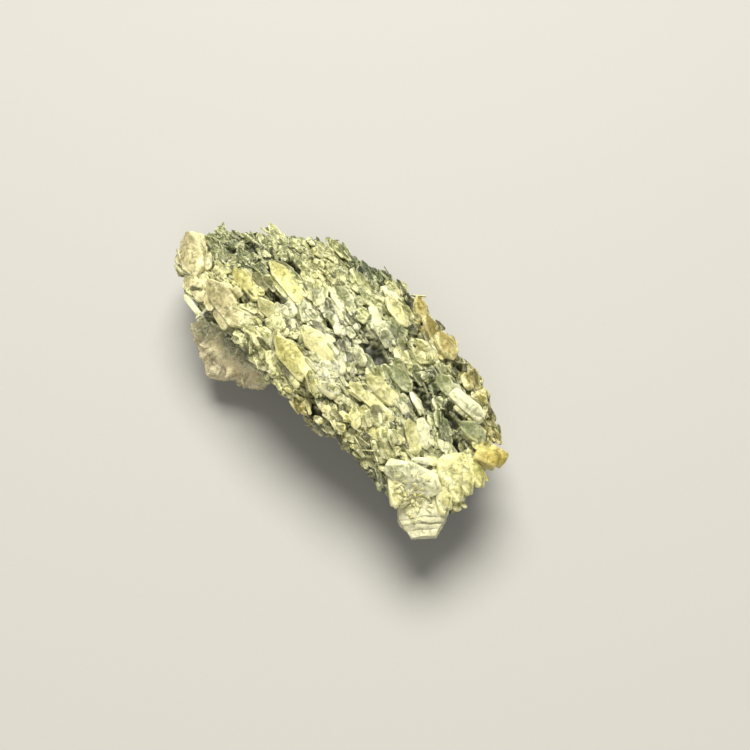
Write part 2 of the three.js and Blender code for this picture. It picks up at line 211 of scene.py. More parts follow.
# Zones: x, y, radius, tint, strength.
ZONES = [
    (-36, -9.5, 4, "beige", 5),
    (-29, -7, 4, "cream", 3),
    (-34, -1, 4, "grey green", 5),
    (-28, 0.5, 5, "pale green", 3),
    (-32, 4, 2.5, "pale green", 5),
    (-23, -3, 2, "grey green", 4),
    (-29.5, 1, 4, "dark green", 4),
    (-24, 6, 4, "pale green", 4),
    (-20, 9.5, 4, "pale green", 3),
    (-17, 4, 3, "dark green", 5),
    (-18, -6, 3, "yellow", 5),
    (-18, -13, 4, "beige", 5),
    (-22, -9.5, 3, "cream", 4),
    (-12, 0.5, 3, "pale green", 4),
    (-12, -4, 2, "dark green", 6),
    (-16.5, -8.8, 1.6, "dark green", 4),
    (-14, 11, 4, "cream", 3),
    (-8.5, 16.5, 4, "dark green", 6),
    (-15, 15, 3, "grey green", 3),
    (-24, -13, 3, "cream", 4),
    (-4, -1, 4, "white", 3),
    (-8, -3.5, 2.5, "white", 6),
    (-8, -8, 5, "cream", 4),
    (-1, -11, 5, "cream", 4),
    (-0.6, 0.6, 1.4, "dark green", 4),
    (-2.5, 4, 3, "white", 7),
    (1.5, 1.5, 2.5, "white", 7),
    (-8, 6, 4, "cream", 6),
    (-14, 7, 3.5, "cream", 4),
    (-20.5, 0.8, 2.4, "dark green", 6),
    (1, 15.5, 3, "cream", 2),
    (-3, 8, 4, "grey green", 3),
    (0, 9, 4, "pale green", 3),
    (5, -3.5, 5, "white", 4),
    (5, -10, 3, "yellow", 5),
    (5, 19, 3, "dark green", 4),
    (-5, 18, 3, "dark green", 4),
    (10, 12, 3, "grey green", 4),
    (7.5, 8, 2.5, "white", 5),
    (2, 17.5, 3, "cream", 4),
    # Painted shade: a near-black tint on a hollow.
    (9.5, 4.2, 2.4, "black green", 8),
    (8.5, 0, 3, "white", 9),
    (20, -8, 3, "cream", 4),
    (13.5, -2, 3, "cream", 4),
    (16, 9.5, 3.5, "cream", 4),
    (10, 17.5, 4, "ochre", 5),
    (9.5, -13, 3.5, "ochre", 4),
    (12, -6, 4, "white", 4),
    (14, 3, 3, "grey green", 4),
    (16, -11.5, 4, "beige", 5),
    (11.5, -13, 2.5, "amber", 3),
    (19, -9.5, 4, "yellow", 4),
    (14, -8, 3, "cream", 5),
    (17, -2.5, 4, "cream", 4),
    (17.5, 17, 3, "ochre", 5),
    (18.5, 5.3, 2.8, "dark green", 7),
    (24, 11.5, 2.8, "dark green", 9),
    (26.5, 14.8, 2, "cream", 4),
    # Painted shade: a near-black tint on a hollow.
    (22, 16.4, 1.5, "black green", 4),
    (20, 14.5, 2.5, "cream", 6),
    (23, 8, 3, "dark green", 2.5),
    (24, -9, 4, "cream", 4),
    (27.5, -7.5, 4, "cream", 5),
    (25, 1.5, 4, "white", 4),
    (28.5, 2.5, 2, "grey green", 5),
    (26, 17, 4, "ochre", 6),
    (29.5, 7.4, 3, "dark green", 6),
    (29, 11.5, 3, "white", 4),
    (30, -12, 2.4, "dark green", 9),
    (35, -11.5, 3, "white", 8),
    (36.5, -9.5, 2.5, "white", 10),
    (30, -3, 3.5, "cream", 4),
    (33, 13, 5, "ochre", 5),
    (33.8, 5.4, 1.8, "dark green", 4),
    (36, 1, 3.5, "white", 6),
    (32, -1, 3, "white", 5),
    (35, -4, 5, "cream", 5),
    (38, 3, 4, "cream", 5),
    (38, -1.5, 2.5, "white", 6),
    (40, 9, 3, "amber", 4),
    (38.5, -7.5, 4, "white", 12),
    (41, -6, 4, "cream", 5),
]
BASE_WEIGHT = 0.5
BASE_TINT = "pale green"
TINT_SPREAD = 0.14
OWN_ZONE_SHARE = 0.35
DARK_WINDOW_SHARE = 0.13
DARK_WINDOW = 0.42


def tint_at(x, y, rng):
    """A tint for a crystal at x, y: the zones' mixture, with a share of one zone's own colour."""
    names, weights = [BASE_TINT], [BASE_WEIGHT]
    for zone_x, zone_y, radius, name, strength in ZONES:
        distance = math.hypot(x - zone_x, y - zone_y) / radius
        names.append(name)
        weights.append(strength * math.exp(-distance * distance))
    blend = Vector((0, 0, 0))
    for name, weight in zip(names, weights):
        blend += Vector(TINTS[name]) * weight / sum(weights)
    chosen = Vector(TINTS[rng.choices(names, weights)[0]])
    window = DARK_WINDOW if rng.random() < DARK_WINDOW_SHARE else 1
    return blend.lerp(chosen, OWN_ZONE_SHARE) * window * (1 + rng.uniform(-TINT_SPREAD, TINT_SPREAD))


print(len(TINTS), "tints in", len(ZONES), "zones")

# %% [markdown]
# ## What every crystal mesh carries
# Five attributes travel with each crystal. Its tint is its own colour. Its own coordinates run along it
# wherever it points, so growth lines and clouds follow it. The rim is 1 on its outline and 0 along its
# middle, and carries a painted highlight: the light that the thin edges of crystals catch. Deep says how
# far down between the crystals a spot lies, where chlorite dust and painted shade darken it. Milk says
# how cloudy it is, most of all at its root.
#
# Each crystal is made in a small bmesh of its own and then poured into the heap of its piece. A heap is
# one mesh, so nothing is left as an instance.

# %% Heaps of crystals
LAYER_TINT = "tint"
LAYER_OWN = "own"
LAYER_RIM = "rim"
LAYER_DEEP = "deep"
LAYER_MILK = "milk"
OWN_SPREAD = 40
spare_mesh = bpy.data.meshes.new("spare")


def new_bmesh():
    """An empty bmesh with the five layers."""
    bm = bmesh.new()
    bm.verts.layers.float_color.new(LAYER_TINT)
    bm.verts.layers.float_vector.new(LAYER_OWN)
    bm.verts.layers.float.new(LAYER_RIM)
    bm.verts.layers.float.new(LAYER_DEEP)
    bm.verts.layers.float.new(LAYER_MILK)
    return bm


MILK_OF_TINT = 0.75
MILK_SPREAD = (-0.3, 0.15)
MILK_TO_ROOT = 0.35
ROOT_BIAS = 0.2


def set_own_and_tint(bm, tint, rng, milkier=0.0):
    """Stores the crystal's own coordinates, before it is placed, its tint and how milky it is."""
    own = bm.verts.layers.float_vector[LAYER_OWN]
    colour = bm.verts.layers.float_color[LAYER_TINT]
    milk = bm.verts.layers.float[LAYER_MILK]
    shift = Vector([rng.uniform(-OWN_SPREAD, OWN_SPREAD) for _ in range(3)])
    reach = max(vert.co.x for vert in bm.verts) or 1
    milky = MILK_OF_TINT * max(tint) + rng.uniform(*MILK_SPREAD) + milkier
    for vert in bm.verts:
        vert[own] = vert.co + shift
        vert[colour] = (*tint, 1)
        vert[milk] = max(0, min(1, milky - MILK_TO_ROOT * (vert.co.x / reach + ROOT_BIAS)))


def pour(bm, heap):
    """Adds a finished crystal to a heap."""
    bm.to_mesh(spare_mesh)
    heap.from_mesh(spare_mesh)
    bm.free()


# How deep a spot lies sets its chlorite dust and painted shade.
DEEP_FROM = 0.55
DEEP_RANGE = 1.3
DEEP_LIMIT = -3.5
SPARED_EDGE = 4.5
SPARED_SHARE = 0.6
SPARED_END_FROM, SPARED_END_REACH, SPARED_END_BACK = 31, 4, 2
SPARED_END_SHARE = 0.9


def mark_deep(heap):
    """Marks how deep each vertex lies between the crystals, for chlorite dust and painted shade; the front
    and the right end are spared some of it.
    """
    deep = heap.verts.layers.float[LAYER_DEEP]
    for vert in heap.verts:
        height = vert.co.z - crown(vert.co.x, vert.co.y)
        if height > DEEP_LIMIT:
            inside = vert.co.y - plate_edge(vert.co.x, 1)
            spared = SPARED_SHARE * max(0, min(1, 1 - inside / SPARED_EDGE))
            if vert.co.y < SPARED_END_BACK:
                spared_end = (vert.co.x - SPARED_END_FROM) / SPARED_END_REACH
                spared = max(spared, min(SPARED_END_SHARE, spared_end))
            vert[deep] = (1 - spared) * max(vert[deep], 0, min(1, (DEEP_FROM - height) / DEEP_RANGE))


def finish_piece(name, heap, material):
    """Makes a heap an object in metres, in the frame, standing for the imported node."""
    bmesh.ops.scale(heap, vec=(MM, MM, MM), verts=heap.verts)
    mesh = bpy.data.meshes.new(name)
    heap.to_mesh(mesh)
    heap.free()
    mesh.materials.append(material)
    piece = bpy.data.objects.new(name, mesh)
    bpy.context.scene.collection.objects.link(piece)
    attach(piece, BODY)
    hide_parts(NODE)
    mesh.calc_loop_triangles()
    print(name, len(mesh.loop_triangles), "triangles")
    return piece


print("layers:", LAYER_TINT, LAYER_OWN, LAYER_RIM, LAYER_DEEP, LAYER_MILK)

# %% [markdown]
# ## One crystal
# Quartz grows as a six-sided prism with six faces at its point. A cone operator with six segments and
# nearly equal radii makes the prism, and poking its end caps makes the points. These crystals are
# flattened, so the prism is squeezed in height. A bevel takes the sharpness off every edge, and a little
# noise bends the whole out of true, because crowded crystals are never perfect.

# %% The shape of a crystal
SIDES = 6
FLAT_UP = math.pi / SIDES
ROOT_RADIUS = 0.9
ROOT_TIP_SHARE = 0.5
POINT_OF_LENGTH = 0.42
POINT_OF_WIDTH = 0.75
BLUNT_STEP = 0.12
BIG_FACE_SHARE = 0.22
FLAT_FACE = 0.995
SHARP_ANGLE = math.radians(24)


def point_length(length, width):
    """How long a crystal's point is, for its length and width."""
    return min(POINT_OF_LENGTH * length, POINT_OF_WIDTH * width)


def crystal_body(length, width, thickness, rng, point=None, blunt=0, uneven=0.0, ridged=False):
    """A flat crystal along +X, as wide as width in Y, with a point at each end."""
    tip = point or point_length(length, width)
    bm = new_bmesh()
    depth = length - (1 + ROOT_TIP_SHARE) * tip
    bmesh.ops.create_cone(
        bm, cap_ends=True, segments=SIDES, radius1=ROOT_RADIUS / 2, radius2=0.5, depth=depth
    )
    turn = 0 if ridged else FLAT_UP
    bmesh.ops.rotate(bm, cent=(0, 0, 0), matrix=Matrix.Rotation(turn, 3, "Z"), verts=bm.verts)
    bmesh.ops.translate(bm, vec=(0, 0, -(1 - ROOT_TIP_SHARE) / 2 * tip), verts=bm.verts)
    for end in (-1, 1):
        cap = [face for face in bm.faces if face.normal.z * end > FLAT_FACE]
        if end == 1 and blunt > 0:
            cap = bmesh.ops.extrude_discrete_faces(bm, faces=cap)["faces"]
            rise = tip * (1 - BLUNT_STEP)
            bmesh.ops.translate(bm, vec=(0, 0, rise), verts=cap[0].verts)
            for index, vert in enumerate(cap[0].verts):
                share = blunt * (1 + BIG_FACE_SHARE * (-1) ** index)
                vert.co.x *= share
                vert.co.y *= share
        apex = bmesh.ops.poke(bm, faces=cap)["verts"][0]
        apex.co = Vector((rng.uniform(-uneven, uneven), 0, end * length / 2))
    bmesh.ops.rotate(bm, cent=(0, 0, 0), matrix=Matrix.Rotation(math.pi / 2, 3, "Y"), verts=bm.verts)
    for vert in bm.verts:
        vert.co.y *= width * (1 + rng.uniform(-uneven, uneven))
        vert.co.z *= thickness * (1 + rng.uniform(-uneven, uneven))
    return bm


NOISE_SEED = 7
WARP_SIZE = 2.2
WARP_HEIGHT = 0.16

# Blender seeds its vector noise from the clock. A seed of its own keeps the shapes the same each run.
noise.seed_set(NOISE_SEED)


def warp(bm, shift, height=WARP_HEIGHT):
    """Bends a crystal's corners a little out of true, as crowded growth does."""
    for vert in bm.verts:
        vert.co += noise.noise_vector(vert.co / WARP_SIZE + Vector((shift, 0, 0))) * height


def bevel_edges(bm, offset, segments=1):
    """Takes the sharpness off every edge."""
    bmesh.ops.bevel(
        bm, geom=bm.edges[:], offset=offset, offset_type="OFFSET", segments=segments, profile=0.5,
        affect="EDGES", material=-1, clamp_overlap=True,
    )


OUTLINE_LEAST = 0.08


def mark_outline(bm, length, width, tip):
    """Marks the crystal's outline, seen from above, as rim: its side edges and its two points."""
    rim = bm.verts.layers.float[LAYER_RIM]
    for vert in bm.verts:
        to_point = (length / 2 - abs(vert.co.x)) / tip
        half = width / 2 * max(OUTLINE_LEAST, min(1, to_point))
        vert[rim] = max(0, min(1, abs(vert.co.y) / half))


def turned_to(at, heading, tilt=0.0, roll=0.0):
    """The place of a crystal: turned about its own axis, tipped up, headed and moved."""
    turn = (
        Matrix.Rotation(math.radians(heading), 4, "Z")
        @ Matrix.Rotation(math.radians(-tilt), 4, "Y")
        @ Matrix.Rotation(math.radians(roll), 4, "X")
    )
    return Matrix.Translation(at) @ turn


trial = crystal_body(10, 4, 2, random.Random(1))
print("a plain crystal has", len(trial.faces), "faces")
trial.free()

# %% [markdown]
# ## The rock
# The rock is a plate with a rolled edge, standing on a keel. A sphere with its poles at the two ends has
# just the right grid: its rings become cross-sections along X and its columns run round each section.
# The cage is subdivided and roughened with noise. Most of it shows only as dark green chlorite between
# the crystals, but from the sides and from below it is the main surface.

# %% The rock's sections
RIM_ROLL = 1.4
WALL_HEIGHT = 3.4
KEEL_LEFT = -29
KEEL_RIGHT = 30
KEEL_RUNOUT = 13
END_DEPTH = 6
SLOPE_SHARE = 0.42
CAGE_ROUGHNESS = {"top": 0.3, "rim": 0.6, "wall": 1.2, "slope": 2, "base": 1.4}
ROCK_RINGS = 20
# Columns of a section: share of the way from the front edge to the back one, and level.
ROCK_SECTION = [
    (0.56, "base"),
    (0.68, "base"),
    (0.8, "base"),
    (0.91, "slope"),
    (0.985, "wall"),
    (1, "rim"),
    (0.95, "top"),
    (0.76, "top"),
    (0.55, "top"),
    (0.34, "top"),
    (0.14, "top"),
    (0.04, "top"),
    (0, "rim"),
    (0.02, "wall"),
    (0.17, "slope"),
    (0.34, "base"),
    (0.45, "base"),
]


def rock_level(level, x, y):
    """Height of one level of the rock's section at x, y."""
    top = crown(x, y)
    runout = max(KEEL_LEFT - x, x - KEEL_RIGHT, 0) / KEEL_RUNOUT
    base = min(runout, 1) * (top - END_DEPTH)
    wall = top - RIM_ROLL - WALL_HEIGHT
    levels = {"top": top, "rim": top - RIM_ROLL, "wall": wall, "base": base}
    levels["slope"] = mix(wall, base, SLOPE_SHARE)
    return levels[level]


def cage_point(vert_co):
    """Where a vertex of the unit sphere lies on the rock."""
    columns = len(ROCK_SECTION)
    ring = round(math.acos(max(-1, min(1, vert_co.z))) / math.pi * ROCK_RINGS)
    column = round(math.atan2(vert_co.y, vert_co.x) / math.tau * columns) % columns
    at_end = ring in (0, ROCK_RINGS)
    share, level = (0.5, "wall") if at_end else ROCK_SECTION[column]
    x = mix(RIGHT_END, LEFT_END, (1 - math.cos(math.pi * ring / ROCK_RINGS)) / 2)
    y = mix(plate_edge(x, 1), plate_edge(x, 2), share)
    z = rock_level(level, x, y)
    draw = draws_for(ring if at_end else ring * columns + column)
    rough = CAGE_ROUGHNESS[level]
    shift = [draw(-rough, rough), draw(-rough, rough), 0 if level == "base" else draw(-rough, rough)]
    return Vector((x, y, z)) + Vector(shift)


# %% The rock's skin
ROCK_CUTS = 15
ROCK_TINT = (0.11, 0.15, 0.08)
LUMP_SIZE = 3.5
LUMP_HEIGHT = 0.45
GRAIN_SIZE = 0.9
GRAIN_HEIGHT = 0.12


def rock_noise(point):
    """How far the rough rock stands out at a point."""
    lumps = noise.fractal(point / LUMP_SIZE, 1.0, 2.0, 3) * LUMP_HEIGHT
    return lumps + noise.noise(point / GRAIN_SIZE) * GRAIN_HEIGHT


SKIN_RIDGE_GAIN = 9


def mark_ridges(bm, gain):
    """Marks as rim what stands out: vertices well above the middle of their neighbours."""
    rim = bm.verts.layers.float[LAYER_RIM]
    bm.normal_update()
    for vert in bm.verts:
        middle = Vector((0, 0, 0))
        for edge in vert.link_edges:
            middle += edge.other_vert(vert).co / len(vert.link_edges)
        vert[rim] = max(-1, min(1, (vert.co - middle).dot(vert.normal) * gain))


DRUSE_CELL = Vector((3.0, 1.5, 1.5))
DRUSE_STEP = 0.5
DRUSE_TIP_UP = (0.02, 0.42)
DRUSE_ROLL = 0.9
DRUSE_GROOVE = 0.35
GROOVE_WIDTH = 0.3
SIDE_TINTS = [ROCK_TINT, (0.22, 0.27, 0.14), (0.34, 0.36, 0.20), (0.07, 0.09, 0.05), (0.55, 0.53, 0.32)]
cell_tints = {}


def druse(point):
    """The fine crystal skin at a point: how far it stands out, and the middle of its own small crystal."""
    scaled = Vector((point.x / DRUSE_CELL.x, point.y / DRUSE_CELL.y, point.z / DRUSE_CELL.z))
    distances, middles = noise.voronoi(scaled)
    luck = noise.cell_vector(middles[0])
    away = scaled - middles[0]
    height = (luck.x - 0.5) * DRUSE_STEP
    height -= away.x * DRUSE_CELL.x * mix(*DRUSE_TIP_UP, luck.y)
    height += away.y * DRUSE_CELL.y * (luck.z - 0.5) * DRUSE_ROLL
    height -= DRUSE_GROOVE * max(0, 1 - (distances[1] - distances[0]) / GROOVE_WIDTH)
    return height, middles[0]


def cell_tint(middle, on_top):
    """The tint of one small crystal of the skin, drawn once for each."""
    key = (round(middle.x, 3), round(middle.y, 3), on_top)
    if key not in cell_tints:
        # They are numbered as they are met. That order changes from run to run, and so do these tints.
        rng = random.Random(len(cell_tints))
        x, y = middle.x * DRUSE_CELL.x, middle.y * DRUSE_CELL.y
        cell_tints[key] = tint_at(x, y, rng) if on_top else Vector(rng.choice(SIDE_TINTS))
    return cell_tints[key]


# %% Build the rock
FLAT_TOP = 0.75
CROWN_PULL = 0.7
FACES_UP = 0.1


def make_rock():
    """The cage, subdivided, drawn to the crown, tinted by place and roughened."""
    heap = new_bmesh()
    bmesh.ops.create_uvsphere(heap, u_segments=len(ROCK_SECTION), v_segments=ROCK_RINGS, radius=1)
    for vert in heap.verts:
        vert.co = cage_point(vert.co)
    bmesh.ops.subdivide_edges(heap, edges=heap.edges[:], cuts=ROCK_CUTS, use_grid_fill=True)
    bmesh.ops.recalc_face_normals(heap, faces=heap.faces)
    heap.normal_update()
    for vert in heap.verts:
        if vert.normal.z > FLAT_TOP:
            vert.co.z = mix(vert.co.z, crown(vert.co.x, vert.co.y), CROWN_PULL)
    set_own_and_tint(heap, ROCK_TINT, random.Random(1))
    tint = heap.verts.layers.float_color[LAYER_TINT]
    deep = heap.verts.layers.float[LAYER_DEEP]
    moves = []
    for vert in heap.verts:
        stand_out, middle = druse(vert.co)
        moves.append(vert.normal * (rock_noise(vert.co) + stand_out))
        on_top = vert.normal.z > FACES_UP
        vert[tint] = (*cell_tint(middle, on_top), 1)
        # The deep mark on top carries painted shade into the hollows.
        vert[deep] = hollowness(vert.co.x, vert.co.y) if on_top else 0
    for vert, move in zip(heap.verts, moves):
        vert.co += move
        vert.co.z = max(vert.co.z, 0)
    mark_ridges(heap, SKIN_RIDGE_GAIN)
    for face in heap.faces:
        face.smooth = True
    return heap


rock = make_rock()
print("rock faces:", len(rock.faces))

# %% [markdown]
# ## The crystals that stand out
# Nearly forty crystals are large or odd enough to be known one by one: lances, bars, blades, stubs, and
# the terrace of parallel prisms at the right end. They are a list of names with place, size and heading.
# Each is seated on the crown and follows its slope. Their faces are wide enough to show growth, so each
# flat is cut into a grid and given gentle steps along the crystal, as quartz has.

# %% The named crystals
STUB = dict(point=0.3, thick=1.1, alone=True)
STEP = dict(blunt=0.5, thick=0.9, milk=0, tilt=24, lift=0.35)
NAMED_CRYSTALS = {
    "yellowLance": dict(at=(-13, 0), length=13, width=4.2, heading=176, blunt=0.3),
    "ochreLance": dict(at=(-19, -6), length=11, width=3.6, heading=179),
    "beigeBlade": dict(at=(-18.5, -12), length=14, width=5.4, heading=176, blunt=0.3, milk=0.12),
    "rimmedBlade": dict(at=(3, -4.3), length=10.5, width=5, heading=184, blunt=0.3, milk=0.12),
    "frontYellow": dict(at=(2, -9.8), length=12, width=5, heading=179, blunt=0.35),
    "clearLozenge": dict(at=(5.5, 8.5), length=9.5, width=2.6, heading=-24),
    "teardrop": dict(at=(-1, 4.5), length=5, width=2.2, heading=108),
    "whiteBar": dict(at=(29.5, 11.4), length=9.8, width=3.6, heading=4, blunt=0.8, thick=0.8, milk=0.35),
    "whiteNeedle": dict(at=(24.5, 11.5), length=6, width=2, heading=26),
    "whiteNub": dict(at=(19.5, 8), length=4.5, width=2.2, heading=70),
    "creamSpear": dict(at=(28.5, -1.5), length=8, width=3, heading=155),
    "whiteBlock": dict(at=(29.5, 0.5), length=6.5, width=2.8, heading=154, blunt=0.5),
    "whiteTwin": dict(at=(24, 3.5), length=5.5, width=3.2, heading=171, blunt=0.4),
    "creamShield": dict(at=(35, -6.5), length=12.5, width=6.4, heading=211, blunt=0.5, milk=0.22, tilt=5),
    "stubLower": dict(at=(40.8, 9.4), length=4.2, width=3.6, heading=22, milk=-0.3, **STUB),
    "yellowStub": dict(at=(40, 7.4), length=4.8, width=4, heading=26, milk=-0.1, **STUB),
    "stepBed": dict(
        at=(38, 1.3), length=8, width=8.6, heading=-27, blunt=0.75, thick=0.4, milk=-0.2, lift=0.15
    ),
    "stepBack": dict(at=(40.9, 4.2), length=7, width=3.7, heading=-27, **STEP),
    "stepMiddle": dict(at=(40.8, -1), length=6.4, width=3.6, heading=-28, **STEP),
    "stepFront": dict(at=(40.9, -3.8), length=5.6, width=3.4, heading=-30, alone=True, **STEP),
    "stepLow": dict(
        at=(41.4, -4.6), length=5, width=3.4, heading=-32, blunt=0.6, thick=0.9, milk=0.1, tilt=16,
        lift=0.3, alone=True,
    ),
    "flankPale": dict(
        at=(34.4, -9.8), length=7.5, width=4.6, heading=-38, blunt=0.7, milk=0.35, tilt=6, alone=True
    ),
    "stepInner": dict(at=(40.5, 1.5), length=7.4, width=3.6, heading=-26, **STEP),
    "leftButt": dict(at=(-34, -9.8), length=12, width=6.4, heading=150, blunt=0.8, thick=0.7, milk=-0.15),
    "leftBlade": dict(at=(-28, -13.5), length=10, width=3.6, heading=170),
    "longLath": dict(at=(18.5, -3.5), length=12, width=2.6, heading=193),
    "creamLath": dict(at=(18, -0.5), length=9.5, width=3.6, heading=192),
    "ochreRound": dict(at=(17.4, 16.8), length=7, width=4.6, heading=173, blunt=0.6),
    "whiteOval": dict(at=(2, 15.5), length=6, width=2.8, heading=185, blunt=0.4),
    "creamBlock": dict(at=(6, 13.5), length=8, width=3.8, heading=174, blunt=0.5),
    "backKnob": dict(at=(7.5, 18.5), length=7, width=3, heading=150, blunt=0.5),
    "backOchre": dict(at=(13, 16.8), length=7.5, width=3.8, heading=163, blunt=0.5),
    "creamLens": dict(at=(-10, -6.5), length=7.5, width=3.4, heading=185, blunt=0.4),
    "greyGreenFront": dict(at=(18.5, 4), length=7, width=3.6, heading=180),
    "greyGreenBack": dict(at=(23.8, 11), length=7, width=3.6, heading=179),
    "palePair": dict(at=(-4.5, 12.5), length=7.5, width=3.4, heading=178, blunt=0.4),
    "greyRight": dict(at=(34.5, 9), length=8, width=4.2, heading=207),
}
NAMED_TINTS = {
    "yellow": ["yellowLance", "ochreLance", "frontYellow", "teardrop", "stepBack"],
    "amber": ["yellowStub", "stubLower"],
    "beige": ["beigeBlade", "leftButt", "leftBlade"],
    "cream": [
        "rimmedBlade", "creamSpear", "stepBed", "stepLow", "flankPale", "stepFront", "stepMiddle",
        "stepInner", "creamLath", "creamBlock", "longLath", "creamLens",
    ],
    "white": [
        "creamShield", "clearLozenge", "whiteBar", "whiteNeedle", "whiteNub", "whiteBlock", "whiteTwin",
        "whiteOval",
    ],
    "ochre": ["ochreRound", "backOchre", "backKnob"],
    "pale green": ["palePair"],
    "grey green": ["greyGreenFront", "greyGreenBack", "greyRight"],
}
NAMED_MILK = 0.04
NAMED_SHADE = 0.97
NAMED_SHADE_SPREAD = 0.08
NAMED_THICKNESS = 0.55
NAMED_TILT = 11
NAMED_ROLL = (-8, 8)
NAMED_LIFT = 0.5
NAMED_COVER = (-0.2, 0.48, 0.48)
print("tints of the named crystals:", list(NAMED_TINTS))

# %% Growth on the faces, and a place on the crown
FACE_CUTS = 2
STEP_LENGTH = 1.3
STEP_HEIGHT = 0.07
SIDE_SHIFT = 2
DIMPLE_PITCH = 1.1
DIMPLE_HEIGHT = 0.06


def grow_face_detail(bm, cuts, steps=STEP_HEIGHT, dimples=DIMPLE_HEIGHT, shift=0.0):
    """Cuts the faces into grids and gives them growth steps along X and small dimples."""
    bmesh.ops.subdivide_edges(bm, edges=bm.edges[:], cuts=cuts, use_grid_fill=True)
    bm.normal_update()
    moves = []
    for vert in bm.verts:
        along = vert.co.x / STEP_LENGTH + shift
        stair = noise.noise(Vector((along, vert.normal.y * SIDE_SHIFT, vert.normal.z * SIDE_SHIFT)))
        dimple = noise.noise(vert.co * DIMPLE_PITCH + Vector((shift, 0, 0)))
        moves.append(vert.normal * (stair * steps + dimple * dimples))
    for vert, move in zip(bm.verts, moves):
        vert.co += move


def smooth_shading(bm):
    """Smooth faces, with the crystal's own edges kept sharp."""
    for face in bm.faces:
        face.smooth = True
    for edge in bm.edges:
        edge.smooth = edge.calc_face_angle(0) < SHARP_ANGLE


def on_crown(x, y, heading, tilt, roll, lift):
    """The place of a crystal that lies on the crown and follows its slope."""
    tilt += slope_angle(x, y, heading)
    roll += slope_angle(x, y, heading + 90)
    return turned_to((x, y, crown(x, y) + lift), heading, tilt, roll)


# %% Growing one crystal in its place
BEVEL_SHARE = 0.06
UNEVEN = 0.1
NO_LIMIT = 9


def sink_to(bm, limit):
    """Sinks a placed crystal until no corner stands higher than limit over the crown."""
    highest = max(vert.co.z - crown(vert.co.x, vert.co.y) for vert in bm.verts)
    if highest > limit:
        bmesh.ops.translate(bm, vec=(0, 0, limit - highest), verts=bm.verts)


def grow(
    heap, matrix, size, tint, rng,
    cuts=0, segments=1, milkier=0.0, waviness=WARP_HEIGHT, limit=NO_LIMIT, **shape
):
    """Grows one crystal of a size (length, width, thickness) at a place."""
    length, width, _ = size
    bm = crystal_body(*size, uneven=UNEVEN, rng=rng, **shape)
    bevel_edges(bm, BEVEL_SHARE * width, segments)
    shift = rng.uniform(0, OWN_SPREAD)
    if cuts:
        grow_face_detail(bm, cuts, shift=shift)
    warp(bm, shift, waviness)
    mark_outline(bm, length, width, shape.get("point") or point_length(length, width))
    set_own_and_tint(bm, tint, rng, milkier)
    smooth_shading(bm)
    bmesh.ops.transform(bm, matrix=matrix, verts=bm.verts)
    sink_to(bm, limit)
    pour(bm, heap)


# %% Bundles and satellites
# Members of a bundle: shares of its length, width and thickness.
BUNDLE = [
    (-0.22, 0.26, -0.05),
    (0, -0.3, -0.02),
    (0.1, 0.02, 0.1),
    (0.32, 0.3, 0.02),
    (0.36, -0.2, 0.04),
    (-0.3, -0.12, 0.02),
]
BUNDLE_SCALE = (0.36, 0.8)
BUNDLE_FLATNESS = 0.9
# Where thin plates stand on edge: x, y, reach.
LAMELLAE = (-29, 1, 8)
LAMELLA_SCALE = (0.55, 1.05)
LAMELLA_ROLL = (5, 45)
LAMELLA_FLATNESS = 0.4


def among_lamellae(x, y, reach=LAMELLAE[2]):
    """True in the corner where the crystals are thin plates that stand on edge."""
    return math.hypot(x - LAMELLAE[0], y - LAMELLAE[1]) < reach


RIDGED_SHARE = 0.25
POINT_SHARE = (0.5, 1)
MEMBER_STRAY = 0.1
MEMBER_TURN = 13
MEMBER_TILT = (-8, 6)
MEMBER_ROLL = 19
MEMBER_BLUNT = (0, 0, 0.3, 0.5)
LAMELLA_SINK = 0.5
LAMELLA_WAVES = 0.5
LAMELLA_LIMIT = 0.6
MEMBER_LIMIT = 2.4
CORNER_REACH = 14
CORNER_LIMIT = 1.1


def grow_bundle(heap, matrix, size, x, y, rng):
    """Grows a few crystals side by side in the space of one, as parallel growth does."""
    on_edge = among_lamellae(x, y)
    for along, across, up in BUNDLE:
        scale = rng.uniform(*(LAMELLA_SCALE if on_edge else BUNDLE_SCALE))
        flatness = LAMELLA_FLATNESS if on_edge else BUNDLE_FLATNESS
        member = (size[0] * scale, size[1] * scale, size[2] * scale * flatness)
        shift = Vector((along * size[0], across * size[1], up * size[2]))
        shift.x += rng.uniform(-MEMBER_STRAY, MEMBER_STRAY) * size[0]
        roll = rng.gauss(0, MEMBER_ROLL)
        if on_edge:
            roll = rng.choice((-1, 1)) * rng.uniform(*LAMELLA_ROLL)
            shift.z -= LAMELLA_SINK * member[1] * math.sin(math.radians(abs(roll)))
        place = matrix @ turned_to(shift, rng.gauss(0, MEMBER_TURN), rng.uniform(*MEMBER_TILT), roll)
        blunt = rng.choice(MEMBER_BLUNT)
        point = point_length(*member[:2]) * rng.uniform(*POINT_SHARE)
        tint = tint_at(place.translation.x, place.translation.y, rng)
        if roofs_hollow(place, member[0]):
            continue
        ridged = rng.random() < RIDGED_SHARE
        low = among_lamellae(x, y, CORNER_REACH)
        cuts, waves, limit = 0, WARP_HEIGHT, CORNER_LIMIT if low else MEMBER_LIMIT
        if on_edge:
            cuts, waves, limit = 1, LAMELLA_WAVES, LAMELLA_LIMIT
        shape = dict(blunt=blunt, point=point, ridged=ridged)
        grow(heap, place, member, tint, rng, cuts, waviness=waves, limit=limit, **shape)


SATELLITES = 4
SATELLITE_SCALE = (0.28, 0.45)
SATELLITE_ALONG = (-0.42, 0.3)
SATELLITE_ACROSS = 0.48
SATELLITE_SINK = 0.1
SATELLITE_TURNS = [(-25, 25), (-4, 14), (-30, 30)]


